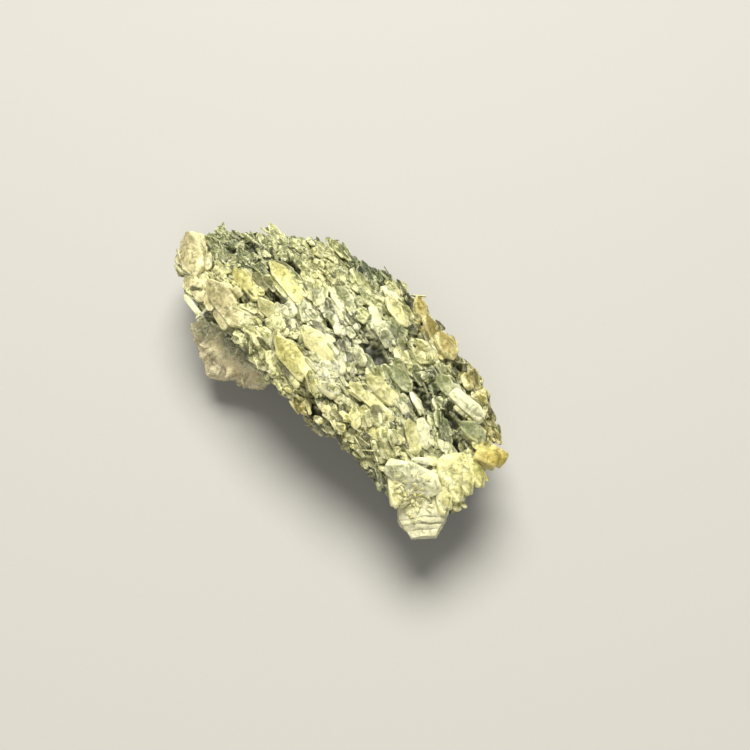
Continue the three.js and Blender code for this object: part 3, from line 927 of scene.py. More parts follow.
def grow_satellites(heap, matrix, size, x, y, rng):
    """Grows small crystals out of a large one's flanks."""
    for index in range(SATELLITES):
        scale = rng.uniform(*SATELLITE_SCALE)
        side = 1 if index % 2 else -1
        along = rng.uniform(*SATELLITE_ALONG) * size[0]
        shift = Vector((along, side * SATELLITE_ACROSS * size[1], -SATELLITE_SINK * size[2]))
        place = matrix @ turned_to(shift, *[rng.uniform(*turn) for turn in SATELLITE_TURNS])
        member = (size[0] * scale, size[1] * scale, size[2] * scale)
        if not roofs_hollow(place, member[0]):
            grow(heap, place, member, tint_at(x, y, rng), rng)


# %% Grow the named crystals
def make_named():
    """Grows the named crystals, most with a few small ones out of their flanks."""
    heap = new_bmesh()
    rng = random.Random(5)
    tint_of = {name: tint for tint, names in NAMED_TINTS.items() for name in names}
    for index, (name, spec) in enumerate(NAMED_CRYSTALS.items()):
        length, width, blunt = spec["length"], spec["width"], spec.get("blunt", 0)
        thickness = spec.get("thick", NAMED_THICKNESS) * width
        shade = NAMED_SHADE + rng.uniform(-NAMED_SHADE_SPREAD, NAMED_SHADE_SPREAD)
        tint = Vector(TINTS[tint_of[name]]) * shade
        roll = draws_for(index)(*NAMED_ROLL)
        size = (length, width, thickness)
        tilt, lift = spec.get("tilt", NAMED_TILT), spec.get("lift", NAMED_LIFT)
        matrix = on_crown(*spec["at"], spec["heading"], tilt, roll, lift * thickness)
        point = spec.get("point")
        cuts, segments = (1, 1) if point else (FACE_CUTS, 2)
        milkier = spec.get("milk", NAMED_MILK)
        grow(heap, matrix, size, tint, rng, cuts, segments, milkier, blunt=blunt, point=point)
        if not spec.get("alone"):
            grow_satellites(heap, matrix, size, *spec["at"], rng)
    return heap


named = make_named()
print("named crystals:", len(NAMED_CRYSTALS), "with", len(named.faces), "faces")

# %% [markdown]
# ## The carpet and the edges
# The rest of the top is a carpet. Rows of crystals lie along the plate like shingles, each drawn from
# ranges of length, width, tilt and roll, most of them pointing left. Each is a bundle of parallel growth,
# and near the left end the bundles are finer and their plates stand on edge. A second set of rows stands
# out from the front and back edges, but leaves the larger end crystal and the sliver clear.

# %% The carpet's ranges
CARPET_LEFT = -42
CARPET_FRONT = -14.5
CARPET_PITCH = 5.6
CARPET_ROW = 3.2
CARPET_COLUMNS = 17
CARPET_ROWS = 12
ROW_SEED_STEP = 110
CARPET_STRAY = (0.35, 0.3)
CARPET_MARGIN = 0.8
CARPET_LEFT_CLEAR = 3.5
CARPET_LENGTH = (5, 7.8)
CARPET_WIDTH = (2.7, 4)
CARPET_THICKNESS = (0.5, 0.75)
CARPET_TILT = (9, 22)
CARPET_ROLL = (-14, 14)
CARPET_LIFT = (0.05, 0.38)
GRAIN_HEADING = 177
GRAIN_TURN_RIGHT = -14
GRAIN_TURN_FROM, GRAIN_TURN_REACH = 10, 24
GRAIN_SPREAD = (-20, 20)
BACKWARD_SHARE = 0.22
FINE_CORNER = (-30, 4, 13)
FINE_SCALE = 0.7
END_CLEAR = (36, -5.5)
print("carpet rows and columns:", CARPET_ROWS, CARPET_COLUMNS)


# %% Where the carpet grows, and which way
def under_named(x, y, cover=NAMED_COVER):
    """True where the open front part of a named crystal covers the plate at x, y."""
    for spec in NAMED_CRYSTALS.values():
        place_in = Vector((x - spec["at"][0], y - spec["at"][1]))
        place_in.rotate(Matrix.Rotation(-math.radians(spec["heading"]), 2))
        along, across = place_in.x / spec["length"], abs(place_in.y) / spec["width"]
        if cover[0] < along < cover[1] and across < cover[2]:
            return True
    return False


def grain_heading(x, draw):
    """The heading of a crystal in the grain, which turns a little towards the right end."""
    share = max(0, min(1, (x - GRAIN_TURN_FROM) / GRAIN_TURN_REACH))
    turned = GRAIN_HEADING + GRAIN_TURN_RIGHT * share * share * (3 - 2 * share)
    backward = 180 if draw() < BACKWARD_SHARE else 0
    return turned + backward + draw(*GRAIN_SPREAD)


def grain_size(x, y):
    """The size of crystals near x, y as a share of their size elsewhere."""
    distance = math.hypot(x - FINE_CORNER[0], y - FINE_CORNER[1])
    return FINE_SCALE if distance < FINE_CORNER[2] else 1


def on_end(x, y):
    """True over the larger crystal that closes the right end."""
    return x > END_CLEAR[0] and y < END_CLEAR[1]


def carpeted(x, y):
    """True on the plate, clear of its edges and of the named crystals."""
    on_plate = LEFT_END + CARPET_LEFT_CLEAR < x < RIGHT_END and not on_end(x, y)
    between = plate_edge(x, 1) + CARPET_MARGIN < y < plate_edge(x, 2) - CARPET_MARGIN
    return on_plate and between and not under_named(x, y) and hollowness(x, y) < HOLLOW_CLEAR


# %% Grow the carpet
carpet = new_bmesh()


def grow_carpet():
    """Grows the rows of bundles over the top."""
    rng = random.Random(8)
    for row in range(CARPET_ROWS):
        for column in range(CARPET_COLUMNS):
            draw = draws_for(ROW_SEED_STEP * (row + 1) + column)
            along = column + 0.5 * (row % 2) + draw(-CARPET_STRAY[0], CARPET_STRAY[0])
            across = row + draw(-CARPET_STRAY[1], CARPET_STRAY[1])
            x = CARPET_LEFT + CARPET_PITCH * along
            y = CARPET_FRONT + CARPET_ROW * across
            if not carpeted(x, y):
                continue
            length = grain_size(x, y) * draw(*CARPET_LENGTH)
            width = grain_size(x, y) * draw(*CARPET_WIDTH)
            thickness = width * draw(*CARPET_THICKNESS)
            heading = grain_heading(x, draw)
            tilt, roll = draw(*CARPET_TILT), draw(*CARPET_ROLL)
            lift = thickness * draw(*CARPET_LIFT)
            matrix = on_crown(x, y, heading, tilt, roll, lift)
            grow_bundle(carpet, matrix, (length, width, thickness), x, y, rng)


grow_carpet()
print("carpet faces:", len(carpet.faces))

# %% The rows along the edges
EDGE_PITCH = 5.2
EDGE_STRAY = 0.25
EDGE_SEED = 2000
EDGE_LENGTH = (4.4, 6)
EDGE_WIDTH = (2.6, 4.2)
EDGE_THICKNESS = 0.7
EDGE_DROP = (0.65, 2.2)
EDGE_INSET = 1.5
EDGE_TURN_OUT = (0, 16)
EDGE_TILT = (-6, 8)
EDGE_ROLL = (-25, 25)
EDGE_BACKWARD_SHARE = 0.3
LEFT_CLEAR = 4.5
CORNER_DROP = 2
CORNER_INSET = 0.8
SLIVER_CLEAR = (-29, -19)


def grow_edges():
    """Grows a row of bundles out of the front edge and one out of the back."""
    rng = random.Random(13)
    for side, outward in ((1, -1), (2, 1)):
        for step in range(int((RIGHT_END - LEFT_END) / EDGE_PITCH) + 1):
            draw = draws_for(EDGE_SEED * side + step)
            x = LEFT_END + EDGE_PITCH * (step + draw(-EDGE_STRAY, EDGE_STRAY))
            if x < LEFT_END + LEFT_CLEAR:
                continue
            inset = EDGE_INSET + CORNER_INSET * among_lamellae(x, plate_edge(x, side), CORNER_REACH)
            y = plate_edge(x, side) - outward * inset
            if side == 1 and (SLIVER_CLEAR[0] < x < SLIVER_CLEAR[1] or x > END_CLEAR[0]):
                continue
            length = grain_size(x, y) * draw(*EDGE_LENGTH)
            width = grain_size(x, y) * draw(*EDGE_WIDTH)
            turn_out = outward * draw(*EDGE_TURN_OUT)
            heading = turn_out if draw() < EDGE_BACKWARD_SHARE else 180 - turn_out
            tilt, roll = draw(*EDGE_TILT), draw(*EDGE_ROLL)
            drop = draw(*EDGE_DROP) + CORNER_DROP * among_lamellae(x, y, CORNER_REACH)
            matrix = turned_to((x, y, crown(x, y) - drop), heading, tilt, roll)
            grow_bundle(carpet, matrix, (length, width, EDGE_THICKNESS * width), x, y, rng)


grow_edges()
print("with the edges:", len(carpet.faces))

# %% [markdown]
# ## The ledge and the underside
# The ledge is massive quartz: it has no crystal form of its own, only broken, bumpy faces. Hulls of a
# few corners give its blocks. A voxel remesh melts the blocks and the crystals on them into one lump,
# because massive quartz shows no joints, and noise in flat steps gives it its broken facets. The
# underside is plain rock, with a few blocky crystals half sunk in it.

# %% The ledge
LEDGE_BLOCKS = {
    "face": [
        (-21, -15, 15.5),
        (-19, -20, 9.5),
        (-15, -21.4, 7),
        (-12.5, -19.4, 6.3),
        (-13, -14.6, 16.5),
        (-10, -14.2, 16),
        (-9.5, -17.4, 8),
        (-17, -11, 5.5),
        (-11, -9, 5),
        (-20, -8, 13),
        (-10, -7, 14),
    ],
    "right lobe": [
        (-12, -18.2, 8),
        (-9, -17.4, 6.8),
        (-6.4, -15.8, 7),
        (-5, -13.4, 7),
        (-4.6, -13, 12.5),
        (-9, -15, 14.5),
        (-12, -14.5, 15),
        (-11, -9, 5),
        (-6, -8, 6.5),
        (-7, -7, 13),
    ],
    "left tooth": [
        (-24.2, -17.6, 14),
        (-23.6, -18.6, 12.2),
        (-20.4, -20, 9.6),
        (-18, -20, 10),
        (-19, -16, 15.2),
        (-22.8, -16, 15),
        (-20, -12, 9),
        (-21, -11, 14),
    ],
}
LEDGE_THICKNESS = 0.8
# Crystals on the ledge: x, y, z, length, width, heading, tilt.
LEDGE_CRYSTALS = [
    (-21, -17.6, 13.4, 5, 2.4, 205, 30),
    (-18.8, -18.4, 12, 4.4, 2.2, 240, 25),
    (-22.2, -17.8, 12, 3.6, 1.9, 230, -10),
    (-16.5, -18.2, 12.4, 4.4, 2.6, 250, 20),
    (-14.2, -19.4, 9, 4.6, 3, 262, -12),
    (-10.8, -17.4, 10.4, 4.4, 3, 280, 8),
    (-8, -15.8, 9.6, 4.4, 2.8, 300, 0),
]
LEDGE_VOXEL = 0.26
LEDGE_RIDGE_GAIN = 10
FACETS = [(4.6, 0.6), (2.0, 0.4)]
# The band under the plate's edge is chlorite stain and painted shade: the plate overhangs it.
LEDGE_TOP = (13.0, 15.2)
LEDGE_TOP_TINT = (0.26, 0.30, 0.15)
LEDGE_SIDE_TINT = (0.60, 0.59, 0.45)
LEDGE_TINT = (0.77, 0.67, 0.39)


def hull_block(corners):
    """A block of massive quartz: the hull of its corners."""
    bm = new_bmesh()
    verts = [bm.verts.new(corner) for corner in corners]
    hull = bmesh.ops.convex_hull(bm, input=verts)
    left_over = hull["geom_interior"] + hull["geom_unused"]
    spare = [vert for vert in bm.verts if vert in left_over]
    bmesh.ops.delete(bm, geom=spare, context="VERTS")
    return bm


def listed_crystal(row, index, thickness_share):
    """A plain crystal from a row of x, y, z, length, width, heading and tilt."""
    x, y, z, length, width, heading, tilt = row
    bm = crystal_body(length, width, thickness_share * width, rng=random.Random(index))
    matrix = turned_to((x, y, z), heading, tilt, draws_for(index)(*EDGE_ROLL))
    bmesh.ops.transform(bm, matrix=matrix, verts=bm.verts)
    return bm


def remeshed(heap, voxel):
    """Melts a heap's overlapping solids into one skin."""
    heap.to_mesh(spare_mesh)
    heap.free()
    lump = bpy.data.objects.new("lump", spare_mesh)
    bpy.context.scene.collection.objects.link(lump)
    melt = lump.modifiers.new("melt", "REMESH")
    melt.mode = "VOXEL"
    melt.voxel_size = voxel
    shape = lump.evaluated_get(bpy.context.evaluated_depsgraph_get())
    bm = new_bmesh()
    bm.from_mesh(shape.to_mesh())
    bpy.data.objects.remove(lump)
    return bm


def broken_facets(point, size, tilt):
    """Flat broken facets: each cell of scattered points has its own tilted plane."""
    scaled = point / size
    middle = noise.voronoi(scaled)[1][0]
    slope = noise.cell_vector(middle) - Vector((0.5, 0.5, 0.5))
    return (scaled - middle).dot(slope) * size * tilt


def facet_skin(bm, facets):
    """Pushes a lump's skin in and out in facets, and keeps it above the table."""
    bm.normal_update()
    moves = [vert.normal * sum(broken_facets(vert.co, *facet) for facet in facets) for vert in bm.verts]
    for vert, move in zip(bm.verts, moves):
        vert.co += move
        vert.co.z = max(vert.co.z, 0)


WAVER_SIZE = 1.6
WAVER_HEIGHT = 1.8
BLEACH_FROM = 0.45
BLEACH_GAIN = 2.5
BLEACH_UNDER_DARK_BAND = 0.6


def tint_ledge(bm):
    """Beige in the middle, dark green under the plate's edge from chlorite stain and painted shade, whitish
    down its left side.
    """
    colour = bm.verts.layers.float_color[LAYER_TINT]
    for vert in bm.verts:
        waver = noise.noise(vert.co / WAVER_SIZE) * WAVER_HEIGHT
        darkened = max(0, min(1, (vert.co.z + waver - LEDGE_TOP[0]) / (LEDGE_TOP[1] - LEDGE_TOP[0])))
        bleached = max(0, min(1, (-vert.normal.x - BLEACH_FROM) * BLEACH_GAIN))
        bleached *= 1 - BLEACH_UNDER_DARK_BAND * darkened
        tint = Vector(LEDGE_TINT).lerp(Vector(LEDGE_TOP_TINT), darkened)
        vert[colour] = (*tint.lerp(Vector(LEDGE_SIDE_TINT), bleached), 1)


def make_ledge():
    """The blocks and their crystals, melted together, faceted and tinted."""
    heap = new_bmesh()
    for corners in LEDGE_BLOCKS.values():
        pour(hull_block(corners), heap)
    for index, row in enumerate(LEDGE_CRYSTALS):
        pour(listed_crystal(row, index, LEDGE_THICKNESS), heap)
    bm = remeshed(heap, LEDGE_VOXEL)
    facet_skin(bm, FACETS)
    set_own_and_tint(bm, TINTS["beige"], random.Random(2))
    bm.normal_update()
    tint_ledge(bm)
    mark_ridges(bm, LEDGE_RIDGE_GAIN)
    for face in bm.faces:
        face.smooth = True
    return bm


ledge = make_ledge()
print("ledge faces:", len(ledge.faces))

# %% The underside
UNDERSIDE_THICKNESS = 0.85
UNDERSIDE_DETAIL = 0.2
# Half sunk crystals: x, y, z, length, width, heading, tilt.
UNDERSIDE_CRYSTALS = [
    (-33, 0, 10, 12, 7, 195, 12),
    (-26, 8, 10, 12, 8, 140, 14),
    (-25, -4, 5, 13, 9, 200, -6),
    (-14, 12, 9, 13, 8, 100, 8),
    (-6, 12, 4, 12, 8, 80, -4),
    (3, 15, 11, 12, 7, 75, 10),
    (13, 13, 6, 13, 9, 110, 6),
    (24, 13, 9, 12, 8, 60, 12),
    (31, 8, 5, 12, 8, 30, 4),
    (34, 1, 9, 11, 7, -10, 6),
    (2, -3, 7, 12, 8, 262, 4),
    (21, -3, 8, 12, 8, 285, 6),
]


def make_underside():
    """Blocky crystals, half sunk in the rock."""
    heap = new_bmesh()
    rng = random.Random(21)
    for index, row in enumerate(UNDERSIDE_CRYSTALS):
        x, y, z, length, width, heading, tilt = row
        bm = crystal_body(length, width, UNDERSIDE_THICKNESS * width, rng=random.Random(index))
        bevel_edges(bm, BEVEL_SHARE * width)
        grow_face_detail(bm, FACE_CUTS, steps=UNDERSIDE_DETAIL, dimples=UNDERSIDE_DETAIL)
        set_own_and_tint(bm, tint_at(x, y, rng), rng)
        smooth_shading(bm)
        matrix = turned_to((x, y, z), heading, tilt, draws_for(index)(*EDGE_ROLL))
        bmesh.ops.transform(bm, matrix=matrix, verts=bm.verts)
        pour(bm, heap)
    return heap


underside = make_underside()
print("underside faces:", len(underside.faces))

# %% [markdown]
# ## The end crystal and the sliver
# One larger crystal closes the right end with a chisel-shaped end. Its upper face shows growth bands:
# real steps, cut across the crystal and set in by turns, with chlorite dust and painted shade in their
# grooves and a painted highlight on their edges. A thin white prism lies in the notch between plate and
# ledge.

# %% The end crystal
END_MIDDLE = (38.3, -7.2, 15.0)
END_HEADING, END_TILT = -36, -11
END_TINT = (0.95, 0.91, 0.63)
END_WIDTH, END_THICKNESS = 10.8, 7.4
END_PRISM = (-7, 3.0)
# Rings of the point: place along it, share of the prism's width, and what the ring is.
END_STEPS = [
    (3.2, 0.95, "groove"),
    (3.3, 0.955, "edge"),
    (4.1, 0.84, "edge"),
    (4.2, 0.80, "groove"),
    (4.35, 0.79, "groove"),
    (4.45, 0.795, "edge"),
    (5.1, 0.68, "edge"),
    (5.2, 0.65, "groove"),
    (5.3, 0.645, "edge"),
    (6.4, 0.50, "edge"),
]
GROOVE_DUST_AND_SHADE = 0.8
BAND_MIDDLE, BAND_REACH = 0.6, 3.4
END_WARP, END_WARP_SHIFT = 0.4, 3
END_BEVEL, END_STEP_HEIGHT, END_DIMPLE_HEIGHT = 0.06, 0.1, 0.12
END_MILK = 0.42
EDGE_HIGHLIGHT = 0.68
SLIVER = dict(length=7.5, width=1.5, thickness=1.2, blunt=0.6)
SLIVER_MIDDLE = (-24.2, -16.5, 18.3)
SLIVER_HEADING, SLIVER_TILT = 178, 4
SLIVER_BEVEL = 0.15


def stepped_crystal(prism, steps, width, thickness):
    """A prism along +X whose point is a stair of rings, grooves and edges by turns."""
    bm = new_bmesh()
    back, front = prism
    bmesh.ops.create_cone(
        bm, cap_ends=True, segments=SIDES, radius1=ROOT_RADIUS / 2, radius2=0.5, depth=front - back
    )
    bmesh.ops.rotate(bm, cent=(0, 0, 0), matrix=Matrix.Rotation(FLAT_UP, 3, "Z"), verts=bm.verts)
    bmesh.ops.translate(bm, vec=(0, 0, (front + back) / 2), verts=bm.verts)
    rim, deep = bm.verts.layers.float[LAYER_RIM], bm.verts.layers.float[LAYER_DEEP]
    cap = [face for face in bm.faces if face.normal.z > FLAT_FACE]
    share = 1
    for along, next_share, kind in steps:
        cap = bmesh.ops.extrude_discrete_faces(bm, faces=cap)["faces"]
        for vert in cap[0].verts:
            vert.co = Vector((vert.co.x * next_share / share, vert.co.y * next_share / share, along))
            # Painted highlight on the edge rings; chlorite dust and painted shade in the grooves.
            vert[rim] = EDGE_HIGHLIGHT if kind == "edge" else 0
            vert[deep] = GROOVE_DUST_AND_SHADE if kind == "groove" else 0
        share = next_share
    bmesh.ops.rotate(bm, cent=(0, 0, 0), matrix=Matrix.Rotation(math.pi / 2, 3, "Y"), verts=bm.verts)
    bmesh.ops.scale(bm, vec=(1, width, thickness), verts=bm.verts)
    bmesh.ops.recalc_face_normals(bm, faces=bm.faces)
    return bm


# %% Make the end crystal and the sliver
def make_ends():
    """The stepped end crystal, and the sliver in the notch."""
    heap = new_bmesh()
    rng = random.Random(34)
    bm = stepped_crystal(END_PRISM, END_STEPS, END_WIDTH, END_THICKNESS)
    bevel_edges(bm, END_BEVEL)
    grow_face_detail(bm, FACE_CUTS, steps=END_STEP_HEIGHT, dimples=END_DIMPLE_HEIGHT)
    warp(bm, END_WARP_SHIFT, END_WARP)
    # The grooves' dust and painted shade stay in a band along the upper face.
    deep = bm.verts.layers.float[LAYER_DEEP]
    for vert in bm.verts:
        off_band = abs(vert.co.y - BAND_MIDDLE) / BAND_REACH
        vert[deep] *= max(0, 1 - off_band * off_band) * (vert.co.z > 0)
    set_own_and_tint(bm, END_TINT, rng, END_MILK)
    smooth_shading(bm)
    bmesh.ops.transform(bm, matrix=turned_to(END_MIDDLE, END_HEADING, END_TILT), verts=bm.verts)
    pour(bm, heap)
    bm = crystal_body(**SLIVER, rng=rng)
    bevel_edges(bm, SLIVER_BEVEL, 2)
    grow_face_detail(bm, FACE_CUTS)
    set_own_and_tint(bm, TINTS["white"], rng)
    for vert in bm.verts:
        vert[bm.verts.layers.float[LAYER_MILK]] = 1
    smooth_shading(bm)
    bmesh.ops.transform(bm, matrix=turned_to(SLIVER_MIDDLE, SLIVER_HEADING, SLIVER_TILT), verts=bm.verts)
    pour(bm, heap)
    return heap


ends = make_ends()
print("end crystal and sliver faces:", len(ends.faces))

# %% [markdown]
# ## The fine crystals
# What makes such a cluster sparkle is the fine growth: about a thousand crystals a few millimetres long,
# seated on everything larger, and smaller glassy buds among them. They are placed by casting rays onto
# the pieces made so far, so each one really sits on what carries it. They are plain, a few dozen faces
# each, because there are so many.

# %% A bed to seat them on
FINE_LENGTH = (2.0, 3.8)
FINE_WIDTH = (0.65, 1.15)
FINE_THICKNESS = (0.3, 0.5)
FINE_PITCH = 1.3
FINE_TOP = 1.1
FINE_ROWS = 28
FINE_COLUMNS = 68
FINE_SINK = 0.2
FINE_RISE = (0, 20)
FINE_STRAY_TURN = 12
FINE_STRAY = (-0.45, 0.45)
FINE_LEAN = 0.45
FINE_LEFT_CLEAR = 3
FINE_DEEPEST = 4
FINE_TOP_SHARE = (-0.5, 1)
CORNER_RISE = 0.3
NAMED_SKIP = 0.9
RAY_START = 60
DOWN = Vector((0, 0, -1))


def loose_draw(rng):
    """The same kind of draw as draws_for gives, from a random generator."""
    return lambda least=0.0, most=1.0: rng.uniform(least, most)


def make_bed(heaps):
    """One search tree of everything the fine crystals can stand on."""
    bed = bmesh.new()
    for heap in heaps:
        heap.to_mesh(spare_mesh)
        bed.from_mesh(spare_mesh)
    tree = BVHTree.FromBMesh(bed)
    bed.free()
    return tree


def stand(bm, at, axis, up):
    """Turns a crystal's X to an axis, with its flat side towards up, and moves it to its place."""
    across = up.cross(axis).normalized()
    above = axis.cross(across)
    turn = Matrix((axis, across, above)).transposed().to_4x4()
    bmesh.ops.transform(bm, matrix=Matrix.Translation(at) @ turn, verts=bm.verts)


def axis_on(normal, heading, rise):
    """A direction in a surface, along a heading, tipped up out of it by rise degrees."""
    flat = Vector((math.cos(math.radians(heading)), math.sin(math.radians(heading)), 0))
    along = (flat - normal * flat.dot(normal)).normalized()
    return (along * math.cos(math.radians(rise)) + normal * math.sin(math.radians(rise))).normalized()


def seat_fine(heap, hit, normal, heading, rise, size, rng, tint=None, milkier=0.0):
    """Seats one small crystal on a surface, unless it would roof over a hollow."""
    length = size * rng.uniform(*FINE_LENGTH)
    width = size * rng.uniform(*FINE_WIDTH)
    thickness = width * rng.uniform(*FINE_THICKNESS)
    bm = crystal_body(length, width, thickness, uneven=UNEVEN, rng=rng)
    mark_outline(bm, length, width, point_length(length, width))
    set_own_and_tint(bm, tint or tint_at(hit.x, hit.y, rng), rng, milkier)
    axis = axis_on(normal, heading, rise)
    if hollowness(*(hit + axis * length / 2).xy) > HOLLOW_CLEAR:
        bm.free()
        return
    lifted = hit + axis * (length * (0.5 - FINE_SINK)) * math.sin(math.radians(rise))
    stand(bm, lifted, axis, normal)
    pour(bm, heap)


bed = make_bed([rock, named, carpet, ledge, ends])
fine = new_bmesh()


def seat_fine_top():
    """Seats fine crystals all over the top, between the larger ones."""
    rng = random.Random(55)
    count = 0
    for row in range(FINE_ROWS):
        for column in range(FINE_COLUMNS):
            x = LEFT_END + (column + rng.uniform(*FINE_STRAY)) * FINE_PITCH
            y = CARPET_FRONT + (row + rng.uniform(*FINE_STRAY)) * FINE_PITCH
            hit, normal, _, _ = bed.ray_cast(Vector((x, y, RAY_START)), DOWN)
            if hollowness(x, y) > HOLLOW_CLEAR or x < LEFT_END + FINE_LEFT_CLEAR:
                continue
            low = crown(x, y) - FINE_DEEPEST
            high = crown(x, y) + FINE_TOP * rng.uniform(*FINE_TOP_SHARE)
            if hit is None or on_end(x, y) or not low < hit.z < high:
                continue
            if under_named(x, y) and rng.random() < NAMED_SKIP:
                continue
            rest = (-DOWN).lerp(normal, FINE_LEAN).normalized()
            heading = grain_heading(x, loose_draw(rng)) + rng.gauss(0, FINE_STRAY_TURN)
            rise = rng.uniform(*FINE_RISE) * (CORNER_RISE if among_lamellae(x, y, CORNER_REACH) else 1)
            seat_fine(fine, hit, rest, heading, rise, grain_size(x, y) ** 0.5, rng)
            count += 1
    print("fine crystals on top:", count)


seat_fine_top()

# %% Glassy buds over the top, the end crystal and the ledge's corner
BUD_SIZE = (0.5, 0.85)
BUD_COUNT = 160
BUD_TOP = 2.2
BUD_MARGIN = 0.5
BUD_RISE = (0, 30)
PATCH_MILK = 0.9
PATCH_RISE = (0, 50)
PATCH_SHADE = (0.85, 1.05)
PATCH_STEEPEST = 0.2
BUD_PATCHES = {
    "end": dict(middle=(37.4, -8.8), spread=(3.2, 3.2), count=80, tints=("cream", "cream", "yellow")),
    "ledge corner": dict(middle=(-21, -16.6), spread=(1.2, 1), count=24, tints=("white", "grey green")),
}


def scatter_buds():
    """Scatters buds over the whole top, clear of the open crystals and the hollows."""
    rng = random.Random(66)
    for _ in range(BUD_COUNT):
        x = rng.uniform(LEFT_END + FINE_LEFT_CLEAR, RIGHT_END)
        y = rng.uniform(plate_edge(x, 1) + BUD_MARGIN, plate_edge(x, 2) - BUD_MARGIN)
        hit, normal, _, _ = bed.ray_cast(Vector((x, y, RAY_START)), DOWN)
        if hit is None or hit.z > crown(x, y) + BUD_TOP:
            continue
        if under_named(x, y) or among_lamellae(x, y) or hollowness(x, y) > HOLLOW_CLEAR:
            continue
        heading = grain_heading(x, loose_draw(rng)) + rng.gauss(0, FINE_STRAY_TURN)
        seat_fine(fine, hit, normal, heading, rng.uniform(*BUD_RISE), rng.uniform(*BUD_SIZE), rng)


def seat_patches():
    """Seats the patches of buds, which have tints of their own."""
    rng = random.Random(77)
    for patch in BUD_PATCHES.values():
        for _ in range(patch["count"]):
            x = rng.gauss(patch["middle"][0], patch["spread"][0] / 2)
            y = rng.gauss(patch["middle"][1], patch["spread"][1] / 2)
            hit, normal, _, _ = bed.ray_cast(Vector((x, y, RAY_START)), DOWN)
            if hit is None or normal.z < PATCH_STEEPEST:
                continue
            size = rng.uniform(*BUD_SIZE)
            heading, rise = rng.uniform(0, 360), rng.uniform(*PATCH_RISE)
            tint = Vector(TINTS[rng.choice(patch["tints"])]) * rng.uniform(*PATCH_SHADE)
            seat_fine(named, hit, normal, heading, rise, size, rng, tint, PATCH_MILK)


scatter_buds()
seat_patches()
print("with the buds:", len(fine.faces), "faces")

# %% Fine crystals round the sides and below
SIDE_PITCH = 2.1
SIDE_RISE = (0, 12)
SIDE_LEVELS = 11
SIDE_COLUMNS = range(-22, 23)
SIDE_UP = (0.1, 0.9)
SIDE_LOWEST = 1.2
SIDE_FLATTEST = 0.7
LEDGE_SPAN = (-27, -4.5)
LEDGE_FRONT = -14


def seat_fine_sides():
    """Seats fine crystals on the slopes, clear of the ledge and of the end crystal."""
    rng = random.Random(89)
    count = 0
    for side in (-1, 1):
        for column in SIDE_COLUMNS:
            for level in range(SIDE_LEVELS):
                x = (column + rng.uniform(*FINE_STRAY)) * SIDE_PITCH
                z = (level + rng.uniform(*SIDE_UP)) * SIDE_PITCH
                start = Vector((x, side * RAY_START, z))
                hit, normal, _, _ = bed.ray_cast(start, Vector((0, -side, 0)))
                if hit is None or hit.z < SIDE_LOWEST or normal.z > SIDE_FLATTEST:
                    continue
                on_ledge = side < 0 and LEDGE_SPAN[0] < x < LEDGE_SPAN[1] and hit.y < LEDGE_FRONT
                if on_ledge or hit.x > END_CLEAR[0]:
                    continue
                heading = grain_heading(x, loose_draw(rng))
                seat_fine(fine, hit, normal, heading, rng.uniform(*SIDE_RISE), 1, rng)
                count += 1
    print("fine crystals round the sides:", count)


seat_fine_sides()

# %% [markdown]
# ## The finish of the crystals
# Quartz is clear, but these crystals are clouded by bubbles and green chlorite, so light goes partly
# through them and is partly scattered. One glass shader would look wet, one matt shader like plaster. The
# principled shader mixes both: plain transmission with quartz's index of refraction, and under it the
# crystal's own tint with clouds and chlorite, chlorite dust with painted shade where it lies deep, and a
# pale rim that is a painted highlight. Growth lines run across each crystal in patches. The carpet and
# the leading crystals share one recipe, and the leading ones are cleaner.

# %% Node helpers
QUARTZ_IOR = 1.544


